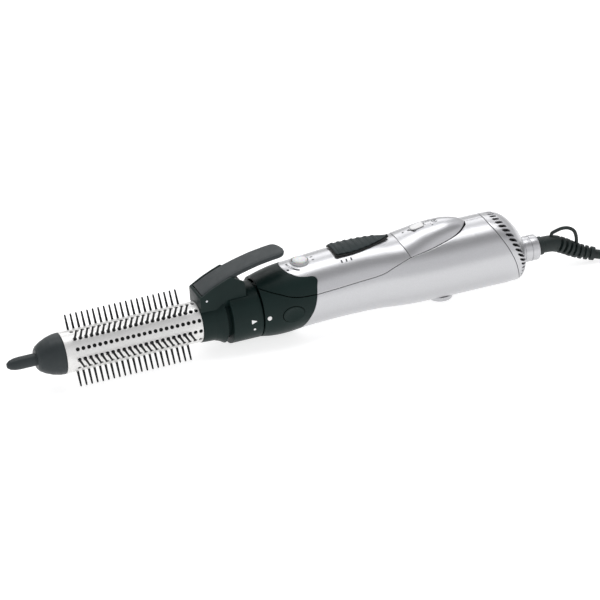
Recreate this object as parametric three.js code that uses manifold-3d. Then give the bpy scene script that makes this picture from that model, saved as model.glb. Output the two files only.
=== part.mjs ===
// A hot air brush: vented barrel with pin strips that draw back, bayonet attachment, two-part grip,
// blower in the rear, and a mains cord folded into a hank. Millimetres, +Z up.
// Inside the group, x runs from the tip of the barrel to the cord, y = z = 0 is the barrel's axis,
// and an angle around that axis starts at -Y and turns towards +Z.
import * as THREE from "three";
import { mergeVertices } from "three/addons/utils/BufferGeometryUtils.js";
import Module from "manifold-3d";

const wasm = await Module();
wasm.setup();

// ---- driving dimensions ----
const GAP = 0.3; // between pieces that touch
const AXIS_HEIGHT = 18.9; // barrel axis above the surface that the brush lies on
const LENGTH = 341.6; // tip of the stalk to the end of the cord bush
const WALL = 2.2;

const STALK_END = 17.7;
const STALK_R = 3.8;
const BARREL_START = 33.2;
const BARREL_END = 117.6;
const BARREL_R = 12.5;
const BARREL_BORE_R = 11.5;
const BARREL_SIDES = 36;

const STRIP_COUNT = 6;
const PIN_COUNT = 21;
const FIRST_PIN_X = 40.6;
const PIN_PITCH = 3.43;
const PIN_ROOT_HALF = 0.62;
const PIN_END_HALF = 0.42;
const PIN_TIP_R = (AXIS_HEIGHT - PIN_END_HALF / 2) / Math.sin(Math.PI / 3); // the lowest pins reach the surface
const PIN_SLOT = 2.4; // width of the slot that the pins of one row come through
const BAR_LOW_R = 10.2;
const BAR_HIGH_R = 11.1;
const BAR_WIDTH = 1.6;
const BAR_START = 35.4;
const BAR_END = 114.9;

const COLLAR_START = BARREL_END + GAP;
const RING_START = 135.4;
const RING_END = 154.2;
const RING_R = 17.4;
const SPIGOT_R = 13;
const SPIGOT_BORE_R = 10.8;
const SPIGOT_END = 168;
const BLOCK_HALF = 9.4;
const BLOCK_WALL = 1.2;
const BLOCK_REAR = 147.3;
const PIVOT = { x: 121.9, z: 17 };
const PIVOT_R = 1.2;

const HANDLE_START = 154.6;
const FLAT_Z = -18.6; // flat underside of the handle
const MOUTH_R = 16.3;
const DIAL_X = 185.3;
const DOT = { x: 157.3, z: 1.3 };
const RELEASE = { x: 172, z: 1.3, halfX: 6.6, halfZ: 4.9 };
const SWITCH_TRAVEL = 6.2;
const SWITCH_TOP = { r: 23.3, ribs: 23.9, z: 5 };
const FOOT = { x: 274, halfX: 7.5, halfY: 12.6 };
const BUSH = { start: 326.5, r: 8.1, z: -3.4 };
const FAN_Z = 1.5; // axis of the motor and fan
const BOARD_REACH = 9.8; // half width of the heater boards

const CORD_R = 3;
const CORD_Z = CORD_R - AXIS_HEIGHT + 0.05; // centre of a cord that lies on the surface
const HANK = { x: 488, y: 0, length: 147, width: 55, height: 18.2 };
const RUN_Y = HANK.y - 24; // the outer run that the cord comes in and leaves by
const TIE = { half: 5, thick: 1.3 };

// handle sections: x, radius, height of the centre
const HANDLE_SECTIONS = [
  [HANDLE_START, 18.4, 1.1], [160, 19.6, 1.4], [166, 20.5, 1.9], [172, 20.9, 2.5], [184, 20.9, 3.6],
  [203, 21.3, 4.8], [222, 21.7, 5.2], [233, 21.9, 4.9], [242, 22.1, 4.1], [254, 22.4, 3.4],
  [274, 22.5, 3], [312, 22.6, 2.9], [316, 22.3, 2.5], [320, 21.2, 1.5], [324, 19.2, -0.6],
  [326, 17.4, -1.5], [328, 14.5, -2.2], [329.4, 10.6, -3],
];
const POD_SECTIONS = [
  [244, 21.7, 4.0], [247, 21.5, 4.7], [251, 20.4, 6.6], [258, 18, 10.4], [265, 16, 13.8], [274, 13.5, 17.1],
  [280, 11.8, 18.8], [286, 9, 20.6], [290.5, 5.2, 22.9], [293.2, 1.6, 24.6],
];
// split lines of the handle, as x, z points seen from the side
const FRONT_EDGE = [
  [172.4, 40], [172.4, 23.4], [173.6, 22.6], [175.7, 21.8], [178.9, 20.6], [183, 20], [187.8, 19.7],
  [189.3, 19], [189.7, 17.6], [188.7, 15.2], [187.6, 10.5], [186.7, 6.7], [185.1, 1.2], [183.1, -3.5],
  [180.6, -9.6], [177, -18], [174, -30],
];
const SEAM_ROW = 10; // index of FRONT_EDGE where the side seam starts
const SIDE_SEAM = [
  [187.6, 10.5], [201, 11.4], [213.6, 12.4], [230.5, 13.7], [238.8, 15.9], [250.5, 18.5],
  [264.9, 20.2], [278.5, 22.3], [285.7, 23.7], [290.9, 25.1], [293.4, 25.6],
];
const JOINT_ROW = 5; // index of SIDE_SEAM where the pod starts
const POD_JOINT = [[250.5, 18.5], [247, 26], [241, 40]];
const CAP_SEAM = [[332, -30], [322.6, -12], [316.7, 4.3], [311.2, 16.2], [305.6, 26], [298, 40]];

// ---- looks ----
const LOOKS = {
  silver: { color: 0xc4c5c9, roughness: 0.35, metalness: 0.6 },
  pearl: { color: 0xe2e1df, roughness: 0.4, metalness: 0.2 },
  black: { color: 0x26302f, roughness: 0.5, metalness: 0 },
  slate: { color: 0x4b4f53, roughness: 0.55, metalness: 0 },
  pin: { color: 0x1c1e20, roughness: 0.5, metalness: 0 },
  steel: { color: 0xb8bcc0, roughness: 0.3, metalness: 1 },
  mica: { color: 0xc9b48a, roughness: 0.7, metalness: 0 },
  nichrome: { color: 0x8c8a86, roughness: 0.4, metalness: 1 },
  board: { color: 0x2c5f3a, roughness: 0.6, metalness: 0 },
  white: { color: 0xf2f2f0, roughness: 0.4, metalness: 0 },
  clear: { color: 0xd8dadc, roughness: 0.2, metalness: 0 },
  rubber: { color: 0x1e2625, roughness: 0.7, metalness: 0 },
  brass: { color: 0xc8a45a, roughness: 0.35, metalness: 1 },
};

const brush = new THREE.Group();
brush.position.set(-LENGTH / 2, 0, AXIS_HEIGHT);

// ---- solids ----
function bare(geometry) {
  const flat = geometry.index ? geometry.toNonIndexed() : geometry.clone();
  flat.deleteAttribute("normal");
  flat.deleteAttribute("uv");
  return mergeVertices(flat, 1e-3);
}

function solid(geometry) {
  const merged = bare(geometry);
  const triVerts = new Uint32Array(merged.index.array);
  const vertProperties = new Float32Array(merged.attributes.position.array);
  return new wasm.Manifold(new wasm.Mesh({ numProp: 3, vertProperties, triVerts }));
}

function geometryOf(manifold) {
  const mesh = manifold.getMesh();
  const geometry = new THREE.BufferGeometry();
  geometry.setAttribute("position", new THREE.BufferAttribute(new Float32Array(mesh.vertProperties), 3));
  geometry.setIndex(new THREE.BufferAttribute(new Uint32Array(mesh.triVerts), 1));
  return geometry;
}

function add(name, manifold, look) {
  const geometry = geometryOf(manifold);
  geometry.computeVertexNormals();
  const mesh = new THREE.Mesh(geometry, new THREE.MeshStandardMaterial(LOOKS[look]));
  mesh.name = name;
  brush.add(mesh);
}

// A closed skin over rings of points that all have the same count; turns each ring towards the next.
function skin(rings) {
  const sides = rings[0].length;
  const points = rings.flat();
  const index = [];
  for (let i = 0; i + 1 < rings.length; i++) {
    for (let j = 0; j < sides; j++) {
      const a = i * sides + j;
      const b = i * sides + ((j + 1) % sides);
      index.push(a, b, a + sides, b, b + sides, a + sides);
    }
  }
  const last = (rings.length - 1) * sides;
  for (let j = 1; j + 1 < sides; j++) {
    index.push(0, j + 1, j);
    index.push(last, last + j, last + j + 1);
  }
  const geometry = new THREE.BufferGeometry();
  geometry.setAttribute("position", new THREE.Float32BufferAttribute(points.flat(), 3));
  geometry.setIndex(index);
  return solid(geometry);
}

// Circles across x through rows of x, radius and centre height, none lower than floorZ.
function loft(sections, sides, shrink = 0, floorZ = -Infinity) {
  const rings = sections.map(([x, r, z]) => {
    const ring = [];
    for (let j = 0; j < sides; j++) {
      const a = (2 * Math.PI * (j + 0.5)) / sides;
      const height = Math.max(floorZ + shrink, z + (r - shrink) * Math.sin(a));
      ring.push([x, (r - shrink) * Math.cos(a), height]);
    }
    return ring;
  });
  return skin(rings);
}

// A solid of revolution about the x axis, from x, radius points that start and end on it or close.
function turned(profile, sides = 32, z = 0) {
  const points = profile.map(([x, r]) => new THREE.Vector2(r, x));
  const geometry = new THREE.LatheGeometry(points, sides);
  geometry.rotateY(Math.PI / sides);
  const axes = new THREE.Matrix4().makeBasis(
    new THREE.Vector3(0, 1, 0), new THREE.Vector3(1, 0, 0), new THREE.Vector3(0, 0, -1));
  geometry.applyMatrix4(axes);
  geometry.translate(0, 0, z);
  const made = solid(geometry);
  return made.volume() > 0 ? made : flipped(geometry);
}

function flipped(geometry) {
  const merged = bare(geometry);
  const index = merged.index.array;
  for (let i = 0; i < index.length; i += 3) [index[i + 1], index[i + 2]] = [index[i + 2], index[i + 1]];
  return solid(merged);
}

function disc(x0, x1, r, sides = 32, z = 0) {
  return turned([[x0, 0], [x0, r], [x1, r], [x1, 0]], sides, z);
}

function tube(x0, x1, r, bore, sides = 32, z = 0) {
  return turned([[x0, bore], [x0, r], [x1, r], [x1, bore], [x0, bore]], sides, z);
}

function box(x0, x1, y0, y1, z0, z1) {
  const geometry = new THREE.BoxGeometry(x1 - x0, y1 - y0, z1 - z0);
  geometry.translate((x0 + x1) / 2, (y0 + y1) / 2, (z0 + z1) / 2);
  return solid(geometry);
}

function outline(points) {
  return new THREE.Shape(points.map(([a, b]) => new THREE.Vector2(a, b)));
}

// An x, z outline made solid from y0 to y1.
function sideCut(points, y0, y1) {
  const geometry = new THREE.ExtrudeGeometry(outline(points), { depth: y1 - y0, bevelEnabled: false });
  geometry.rotateX(Math.PI / 2);
  geometry.translate(0, y1, 0);
  return solid(geometry);
}

// An x, y outline made solid from z0 to z1.
function topCut(shape, z0, z1) {
  const geometry = new THREE.ExtrudeGeometry(shape, { depth: z1 - z0, bevelEnabled: false, curveSegments: 6 });
  geometry.translate(0, 0, z0);
  return solid(geometry);
}

function ellipseShape(x, y, halfX, halfY, sides = 24) {
  const points = [];
  for (let i = 0; i < sides; i++) {
    const a = (2 * Math.PI * i) / sides;
    points.push([x + halfX * Math.cos(a), y + halfY * Math.sin(a)]);
  }
  return outline(points);
}

function stadium(x, y, length, width) {
  const r = width / 2;
  const reach = length / 2 - r;
  const shape = new THREE.Shape();
  shape.absarc(x + reach, y, r, -Math.PI / 2, Math.PI / 2, false);
  shape.absarc(x - reach, y, r, Math.PI / 2, (3 * Math.PI) / 2, false);
  return shape;
}

function aroundBarrel(manifold, angle) {
  return manifold.rotate([(-angle * 180) / Math.PI, 0, 0]);
}

function shifted(points, dx, dz) {
  return points.map(([x, z]) => [x + dx, z + dz]);
}

// A round tube with its own radius at each point of a smooth curve.
function taperedTube(points, radii, sides, steps) {
  const curve = new THREE.CatmullRomCurve3(points.map((p) => new THREE.Vector3(...p)));
  const frames = curve.computeFrenetFrames(steps, false);
  const rings = [];
  for (let i = 0; i <= steps; i++) {
    const at = curve.getPointAt(i / steps);
    const t = (i / steps) * (radii.length - 1);
    const k = Math.min(Math.floor(t), radii.length - 2);
    const r = radii[k] + (radii[k + 1] - radii[k]) * (t - k);
    const ring = [];
    for (let j = 0; j < sides; j++) {
      const a = (2 * Math.PI * j) / sides;
      const p = at.clone();
      p.addScaledVector(frames.normals[i], r * Math.cos(a));
      p.addScaledVector(frames.binormals[i], r * Math.sin(a));
      ring.push([p.x, p.y, p.z]);
    }
    rings.push(ring);
  }
  return skin(rings);
}

// A plain tube of constant section along a curve.
function cordTube(points, r, sides, steps) {
  const curve = new THREE.CatmullRomCurve3(points.map((p) => new THREE.Vector3(...p)));
  const section = ellipseShape(0, 0, r, r, sides);
  return solid(new THREE.ExtrudeGeometry(section, { steps, bevelEnabled: false, extrudePath: curve }));
}

function coilPoints(axis, from, to, centre, r, turns, perTurn = 6) {
  const points = [];
  for (let i = 0; i <= turns * perTurn; i++) {
    const a = (2 * Math.PI * i) / perTurn;
    const along = from + ((to - from) * i) / (turns * perTurn);
    const u = centre[0] + r * Math.cos(a);
    const v = centre[1] + r * Math.sin(a);
    if (axis === "x") points.push([along, u, v]);
    if (axis === "y") points.push([u, along, v]);
    if (axis === "z") points.push([u, v, along]);
  }
  return points;
}

// ---- brush attachment ----
// Disc that guides the ends of the pin strips in six radial slots, which face the side of `side`.
function stripGuide(x, side, thickness) {
  const back = side > 0 ? disc(x - thickness, x + 2.5, 11.2, 24) : disc(x - 2.5, x + thickness, 11.2, 24);
  const slots = [];
  for (let k = 0; k < STRIP_COUNT; k++) {
    const slot = box(side > 0 ? x : x - 3, side > 0 ? x + 3 : x, -1.1, 1.1, 3, 12);
    slots.push(aroundBarrel(slot, (k * Math.PI) / 3 + Math.PI / 2));
  }
  return back.subtract(wasm.Manifold.union(slots));
}

function coolTip() {
  const profile = [
    [0, 0], [0.5, 1.5], [2.2, 2.7], [4.8, 3.5], [8, STALK_R], [STALK_END, STALK_R], [STALK_END, 5.9],
    [19, 7.6], [22, 9.5], [26, 11.2], [30, 12.2], [BARREL_START, BARREL_R], [BARREL_START, 11.2],
    [34.6, 11.2], [34.6, 0],
  ];
  const rodHole = disc(33.6, 40, 1.8, 12);
  add("cool_tip", turned(profile, 24).add(stripGuide(34.6, 1, 1)).subtract(rodHole), "slate");
}

function barrelTube() {
  const tubeSolid = tube(BARREL_START + GAP, BARREL_END, BARREL_R, BARREL_BORE_R, BARREL_SIDES);
  const half = PIN_SLOT / 2;
  const from = FIRST_PIN_X - half;
  const to = FIRST_PIN_X + (PIN_COUNT - 1) * PIN_PITCH + half;
  const cutters = [];
  for (let k = 0; k < STRIP_COUNT; k++) {
    cutters.push(aroundBarrel(box(from, to, -half, half, 8, 15), (k * Math.PI) / 3 - Math.PI / 2));
  }
  add("barrel_tube", tubeSolid.subtract(wasm.Manifold.union(cutters)), "pearl");
}

function pin(x) {
  const ring = (z, half) => [[x - half, -half, z], [x + half, -half, z], [x + half, half, z], [x - half, half, z]];
  return skin([ring(BAR_HIGH_R - 0.2, PIN_ROOT_HALF), ring(PIN_TIP_R, PIN_END_HALF)]);
}

function pinStrips() {
  const pieces = [box(BAR_START, BAR_END, -BAR_WIDTH / 2, BAR_WIDTH / 2, BAR_LOW_R, BAR_HIGH_R)];
  for (let i = 0; i < PIN_COUNT; i++) pieces.push(pin(FIRST_PIN_X + i * PIN_PITCH));
  const strip = wasm.Manifold.union(pieces);
  for (let k = 0; k < STRIP_COUNT; k++) {
    add(`pin_strip_${k + 1}`, aroundBarrel(strip, (k * Math.PI) / 3 - Math.PI / 2), "pin");
  }
}

function rearGuide() {
  let guide = stripGuide(115.3, -1, 1.2);
  const ports = [disc(110, 120, 1.8, 12)];
  for (let k = 0; k < STRIP_COUNT; k++) {
    const port = disc(110, 120, 2, 8, 7);
    ports.push(aroundBarrel(port, (k * Math.PI) / 3 - Math.PI / 3));
  }
  guide = guide.subtract(wasm.Manifold.union(ports));
  add("strip_guide", guide, "black");
}

function camRod() {
  const profile = [
    [37.2, 0], [37.2, 1.4], [52, 1.4], [54, 2.7], [57, 2.7], [61, 1.4], [96, 1.4], [98, 2.7], [101, 2.7],
    [105, 1.4], [120, 1.4], [120, 0],
  ];
  add("cam_rod", turned(profile, 16), "steel");
}

const LEVER_TOP = [
  [119.7, 20.6], [123, 22.4], [126.3, 24.2], [132.1, 26.8], [137.9, 29.1], [143.7, 30.9], [144.9, 30.5],
  [149.4, 32.2], [155.4, 33.8], [161.4, 34.8], [167.5, 35.6], [171.5, 35.9], [174.7, 34.9],
];

function leverBlockSolid(grow) {
  const rim = LEVER_TOP.slice(1, 6);
  const points = [[COLLAR_START, 11], [COLLAR_START, 20], ...rim, [BLOCK_REAR - 1.2, 24], [BLOCK_REAR, 11]];
  return sideCut(points, -BLOCK_HALF - grow, BLOCK_HALF + grow);
}

function rootCollar() {
  const profile = [
    [COLLAR_START, SPIGOT_BORE_R], [COLLAR_START, 12.9], [126, 13.3], [129.5, 14.6], [132.3, 16.4],
    [132.3, SPIGOT_R], [SPIGOT_END, SPIGOT_R], [SPIGOT_END, SPIGOT_BORE_R], [COLLAR_START, SPIGOT_BORE_R],
  ];
  const bore = disc(COLLAR_START - 1, SPIGOT_END + 1, SPIGOT_BORE_R);
  const well = sideCut(
    [[119.1, 13.6], [119.1, 40], [150, 40], [150, 22.6], [143, 20.4], [130, 15.4], [126, 13.6]],
    -BLOCK_HALF + BLOCK_WALL, BLOCK_HALF - BLOCK_WALL);
  const slot = box(118.4, 124.6, -1.8, 1.8, 4, 16);
  const pinHole = rod(PIVOT, PIVOT_R + 0.05);
  const body = turned(profile).add(leverBlockSolid(0).subtract(bore));
  add("root_collar", body.subtract(wasm.Manifold.union([well, slot, pinHole])), "black");
}

// A cylinder across the brush, along y.
function rod(centre, r, half = 20, sides = 16) {
  const geometry = new THREE.CylinderGeometry(r, r, 2 * half, sides);
  geometry.translate(centre.x, 0, centre.z);
  return solid(geometry);
}

function lockRing() {
  const profile = [
    [RING_START, SPIGOT_R + GAP], [RING_START, RING_R - 0.5], [RING_START + 0.6, RING_R], [RING_END - 0.6, RING_R],
    [RING_END, RING_R - 0.6], [RING_END, SPIGOT_R + GAP], [RING_START, SPIGOT_R + GAP],
  ];
  const block = box(100, BLOCK_REAR + GAP, -BLOCK_HALF - GAP, BLOCK_HALF + GAP, 8, 50);
  add("lock_ring", turned(profile).subtract(block), "black");
}

function leverPlan() {
  const inner = BLOCK_HALF - BLOCK_WALL - 0.35;
  const shape = new THREE.Shape();
  shape.moveTo(119.6, -inner);
  shape.lineTo(150, -inner);
  shape.lineTo(168.5, -7.85);
  shape.absarc(168.5, -1.65, 6.2, -Math.PI / 2, 0, false);
  shape.absarc(168.5, 1.65, 6.2, 0, Math.PI / 2, false);
  shape.lineTo(150, inner);
  shape.lineTo(119.6, inner);
  return shape;
}

function thumbLever() {
  const under = LEVER_TOP.map(([x, z]) => [x + 0.3, z - 2.3]).reverse();
  const plate = sideCut([...LEVER_TOP, ...under], -12, 12).intersect(topCut(leverPlan(), 10, 40));
  const web = sideCut([[120.2, 16], [120.2, 20.2], [127, 23.6], [131, 25.4], [124.4, 16]], -4.5, 4.5);
  const hub = rod(PIVOT, 2.7, 4.5);
  const arm = box(120.7, 123.1, -1.2, 1.2, 2.2, 16);
  const lever = plate.add(web).add(hub).add(arm);
  add("thumb_lever", lever.subtract(rod(PIVOT, PIVOT_R + 0.05)), "slate");
}

function leverPin() {
  add("lever_pin", rod(PIVOT, PIVOT_R, 9.6), "steel");
}

function leverSpring() {
  const points = coilPoints("y", 4.9, 7.6, [PIVOT.x, PIVOT.z], 1.7, 4);
  add("lever_spring", cordTube(points, 0.25, 4, 28), "steel");
}

function bayonetRing() {
  const ring = tube(156.6, 163, 15.1, SPIGOT_R + GAP);
  const lugs = box(160, 165.6, -2.2, 2.2, 13.5, 14.8).add(box(160, 165.6, -2.2, 2.2, -14.8, -13.5));
  add("bayonet_ring", ring.add(lugs), "black");
}

// ---- handle shells ----
function handleOuter() {
  return loft(HANDLE_SECTIONS, 36, 0, FLAT_Z);
}

function handleHollow() {
  const inner = HANDLE_SECTIONS.filter(([x]) => x > 156 && x < 327);
  const [, r, z] = inner.at(-1);
  const rows = [[157, 18.9, 1.2], ...inner, [327.2, r - 3, z]];
  return loft(rows, 28, WALL, FLAT_Z);
}

function podParts() {
  const rise = sideCut([[243, 12], [243, 40], [300, 40], [300, 12]], -20, 20);
  const outer = loft(POD_SECTIONS, 32).intersect(rise);
  const inner = loft(POD_SECTIONS.slice(0, -2), 24, WALL - 0.4);
  return { outer, inner };
}

function region(points) {
  return sideCut(points, -40, 40);
}

function handleShells() {
  const hollow = handleHollow();
  const mouth = disc(150, 158, MOUTH_R);
  const shell = handleOuter().subtract(hollow).subtract(mouth);
  const g = GAP / 2;
  const edge = shifted(FRONT_EDGE, g, 0);
  const seamUp = shifted(SIDE_SEAM, 0, g);
  const seamDown = shifted(SIDE_SEAM, 0, -g);

  const nozzleRegion = region([...shifted(FRONT_EDGE, -g, 0), [150, -30], [150, 40]]);
  const release = sideCut(ellipsePoints(RELEASE, GAP), -40, 0);
  const nozzle = shell.intersect(nozzleRegion).subtract(release);
  const dotPocket = turned([[-22, 0], [-22, 1.9], [-18, 1.9], [-18, 0]], 16).rotate([0, 0, 90]);
  add("nozzle_housing", nozzle.subtract(dotPocket.translate([DOT.x, 0, DOT.z])), "black");

  const upper = region([
    ...edge.slice(0, SEAM_ROW), ...seamUp.slice(0, JOINT_ROW), ...shifted(POD_JOINT, -g, 0)]);
  add("upper_shell", shell.intersect(upper).subtract(upperShellCuts()), "silver");

  const lower = region([
    ...seamDown, [293.4 + g, 25.6], [293.4 + g, 40], ...shifted(CAP_SEAM, -g, 0).reverse(),
    ...edge.slice(SEAM_ROW + 1).reverse()]);
  add("lower_shell", shell.intersect(lower).subtract(screwHoles(1.9)), "silver");

  const pod = podParts();
  const podRegion = region([
    ...shifted(POD_JOINT, g, 0).reverse(), ...seamUp.slice(JOINT_ROW + 1), [293.4 - g, 40]]);
  const sliderSlot = box(258, 268.6, -2, 2, 20, 40);
  const podShell = pod.outer.intersect(podRegion).subtract(pod.inner).subtract(hollow);
  add("pod_cover", podShell.subtract(sliderSlot), "silver");

  rearCap(shell);
}

function ellipsePoints(button, grow) {
  const points = [];
  for (let i = 0; i < 24; i++) {
    const a = (2 * Math.PI * i) / 24;
    points.push([button.x + (button.halfX + grow) * Math.cos(a), button.z + (button.halfZ + grow) * Math.sin(a)]);
  }
  return points;
}

function rearCap(shell) {
  const capRegion = region([...shifted(CAP_SEAM, GAP / 2, 0), [350, 40], [350, -30]]);
  const cuts = [disc(320, 340, BUSH.r + GAP, 32, BUSH.z)];
  const slots = 16;
  for (let k = 0; k < slots; k++) {
    const a = (2 * Math.PI * (k + 0.5)) / slots;
    const x = Math.min(321.4 - 0.43 * (2.9 + 20.5 * Math.sin(a)), 321.4);
    const slot = box(x, x + 5.4, -0.9, 0.9, 12, 30);
    cuts.push(slot.rotate([90 - (a * 180) / Math.PI, 0, 0]).translate([0, 0, 2.9]));
  }
  add("rear_cap", shell.intersect(capRegion).subtract(wasm.Manifold.union(cuts)), "silver");
}

// ---- controls ----
function switchPlan() {
  const halves = [[205.2, 8.5], [216, 8.6], [228, 6.9], [236, 4.6], [241, 2.2], [243, 0.4]];
  return outline([...halves.map(([x, y]) => [x, -y]), ...halves.reverse()]);
}

function upperShellCuts() {
  const slot = box(222 - SWITCH_TRAVEL - GAP, 228 + GAP, -2, 2, 15, 40);
  const well = topCut(ellipseShape(DIAL_X, 0, 4.75 + GAP, 4.75 + GAP), 15, 40);
  return slot.add(well);
}

// A pad that rides over the shell, cut clear of it all along the travel, on a stem through the slot.
function slideSwitch() {
  const { r, ribs, z } = SWITCH_TOP;
  const tops = [disc(200, 250, r, 64, z)];
  for (let i = 0; i < 7; i++) tops.push(disc(208 + 4.2 * i, 209.6 + 4.2 * i, ribs, 64, z));
  const block = wasm.Manifold.union(tops).intersect(topCut(switchPlan(), 15, 40));
  const shell = loft(HANDLE_SECTIONS.map(([x, radius, height]) => [x, radius + GAP, height]), 36);
  const swept = [0, 2, 4, SWITCH_TRAVEL].map((dx) => shell.translate([dx, 0, 0]));
  const pad = block.subtract(wasm.Manifold.union(swept));
  add("slide_switch", pad.add(box(222, 228, -1.7, 1.7, 21.3, 27.8)), "slate");
}

function coolButton() {
  const top = [[19.8, 0], [19.8, 1.8], [22, 1.8], [22, 4.75], [25.2, 4.75], [26.2, 3.9], [26.8, 2.2], [27, 0]];
  const button = turned(top, 24).rotate([0, -90, 0]).translate([DIAL_X, 0, 0]);
  add("cool_button", button, "clear");
  add("cool_button_spring", cordTube(coilPoints("z", 18.3, 21.6, [DIAL_X, 0], 2.6, 3), 0.25, 4, 24), "steel");
}

function releaseButton() {
  const cap = sideCut(ellipsePoints(RELEASE, 0), -21.6, -16.6);
  const stem = sideCut(ellipsePoints({ x: RELEASE.x, z: RELEASE.z, halfX: 1.6, halfZ: 1.6 }, 0), -16.8, -13.9);
  add("release_button", cap.add(stem), "black");
  const coil = coilPoints("y", -16.3, -11.6, [RELEASE.x, RELEASE.z], 2.4, 4);
  add("release_spring", cordTube(coil, 0.3, 4, 30), "steel");
}

function ionSlider() {
  const plate = loft(POD_SECTIONS, 32, -0.9).subtract(loft(POD_SECTIONS, 32, -GAP));
  const stem = box(259.4, 263.4, -1.6, 1.6, 24.3, 28.9);
  add("ion_slider", plate.intersect(topCut(stadium(261.6, 0, 8, 5), 15, 40)).add(stem), "white");
}

// ---- inside the handle ----
function heater() {
  const boards = box(196, 244, -0.5, 0.5, FAN_Z - BOARD_REACH, FAN_Z + BOARD_REACH).add(
    box(196, 244, -BOARD_REACH, BOARD_REACH, FAN_Z - 0.5, FAN_Z + 0.5));
  add("heater_frame", boards, "mica");
  add("heater_coil", cordTube(coilPoints("x", 200, 240, [0, FAN_Z], 11.6, 6, 8), 0.5, 4, 54), "nichrome");
  add("heat_shield", tube(194, 246, 14, 13.4, 24, FAN_Z), "mica");
  add("thermostat", disc(190, 193.6, 4, 16, FAN_Z), "brass");
  let grille = disc(179.4, 180.8, 15, 24, FAN_Z);
  for (let y = -8; y <= 8; y += 4) grille = grille.subtract(box(179, 181, y - 1.2, y + 1.2, FAN_Z - 9, FAN_Z + 9));
  add("outlet_grille", grille, "black");
}

function blower() {
  add("motor", tube(262, 288, 12, 1.6, 24, FAN_Z), "steel");
  let mount = tube(272, 276, 17.3, 12.3, 32, FAN_Z);
  for (let k = 0; k < 4; k++) {
    const port = disc(270, 278, 1.9, 12, 14.8).rotate([45 + 90 * k, 0, 0]).translate([0, 0, FAN_Z]);
    mount = mount.subtract(port);
  }
  add("motor_mount", mount, "black");
  add("fan_shaft", disc(258, 301, 1.2, 12, FAN_Z), "steel");
  const blades = [tube(292, 302, 5, 1.5, 24, 0)];
  for (let k = 0; k < 7; k++) {
    const blade = box(-3.6, 3.6, -0.45, 0.45, 4.6, 15.8).rotate([0, 0, 30]).translate([297, 0, 0]);
    blades.push(blade.rotate([(360 * k) / 7, 0, 0]));
  }
  add("impeller", wasm.Manifold.union(blades).translate([0, 0, FAN_Z]), "white");
  add("intake_filter", disc(304.6, 305.6, 17, 32, FAN_Z), "steel");
}

function electronics() {
  add("circuit_board", box(182.2, 246, -8.5, 8.5, 16.4, 18), "board");
  add("power_switch", box(212, 232, -5, 5, 18.3, 21), "black");
  add("ion_module", box(252, 272, -6, 6, 16, 22.6), "white");
}

// ---- underside, marks and screws ----
const SCREW_X = [198, 222, 250, 296];

function screwHoles(r) {
  const holes = SCREW_X.map((x) => topCut(ellipseShape(x, 0, r + GAP, r + GAP, 16), -25, -10));
  return wasm.Manifold.union(holes);
}

function screws() {
  SCREW_X.forEach((x, i) => {
    add(`screw_${i + 1}`, topCut(ellipseShape(x, 0, 1.9, 1.9, 12), FLAT_Z + 0.8, FLAT_Z + 2.6), "steel");
  });
}

function foot() {
  const reach = FOOT.halfY - FOOT.halfX;
  const shape = new THREE.Shape();
  shape.absarc(FOOT.x, reach, FOOT.halfX, 0, Math.PI, false);
  shape.absarc(FOOT.x, -reach, FOOT.halfX, Math.PI, 2 * Math.PI, false);
  const clear = HANDLE_SECTIONS.map(([x, r, z]) => [x, r + GAP, z]);
  add("foot", topCut(shape, -AXIS_HEIGHT, -13).subtract(loft(clear, 40, 0, FLAT_Z - 0.15)), "silver");
}

function indexDot() {
  const dot = turned([[-19.3, 0], [-19.3, 1.6], [-18.3, 1.6], [-18.3, 0]], 16).rotate([0, 0, 90]);
  add("index_dot", dot.translate([DOT.x, 0, DOT.z]), "white");
}

// ---- cord ----
const RELIEF_PATH = [
  [342, 0, -3.4], [348, 0, -3.3], [354, -0.3, -3.9], [360, -1, -6.4], [366, -2, -9.8], [372, -3.6, -12.4],
  [379, -6, -14.4],
];
const LEAD_PATH = [
  [379.3, -6.1, -14.5], [385, -8.3, -15.5], [391, -11, CORD_Z], [398, -14.6, CORD_Z], [405, -18.2, CORD_Z],
  [412, -21.2, CORD_Z], [420, -23.4, CORD_Z], [429, RUN_Y, CORD_Z],
];

function cordBush() {
  const profile = [
    [BUSH.start, 4], [BUSH.start, BUSH.r], [LENGTH - 1.6, BUSH.r], [LENGTH - 0.4, BUSH.r - 0.5],
    [LENGTH, BUSH.r - 1.6], [LENGTH, 4], [BUSH.start, 4],
  ];
  add("cord_bush", turned(profile, 32, BUSH.z), "silver");
}

function strainRelief() {
  const flange = disc(LENGTH + GAP, 345.6, 5.8, 24, BUSH.z);
  const neck = disc(330, LENGTH + 1, 3.7, 20, BUSH.z);
  const taper = taperedTube(RELIEF_PATH, [5.2, 5.2, 5.1, 4.6, 4.4, 4.1, 3.8], 14, 12);
  add("strain_relief", flange.add(neck).add(taper), "rubber");
}

function hangingLoop() {
  const points = [
    [352.5, 0, 3.2], [356, 0, 4.2], [360, 0, 5], [364, -0.6, 4.6], [367.4, -1.4, 2.4], [368.6, -2, -1],
    [368.8, -2.4, -4.8],
  ];
  add("hanging_loop", taperedTube(points, [1.1, 1.1], 8, 16), "rubber");
}

const TOP_RUN_Z = 5 * CORD_R - AXIS_HEIGHT + 0.05; // third layer of the hank
const PLUG = { x: 598, y: -10, z: -5.9 };
// the end of the cord leaves the third layer, crosses over the fold and comes down to the plug
const TAIL_PATH = [
  [500, RUN_Y, TOP_RUN_Z], [512, -23.6, -1.6], [524, -21.6, 1.4], [536, -18.4, 2.6], [548, -14.8, 2.8],
  [559, -12, 2.2], [571, -10.5, -0.8], [584, -10, -4.5], [PLUG.x - GAP, PLUG.y, PLUG.z],
];

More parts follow.
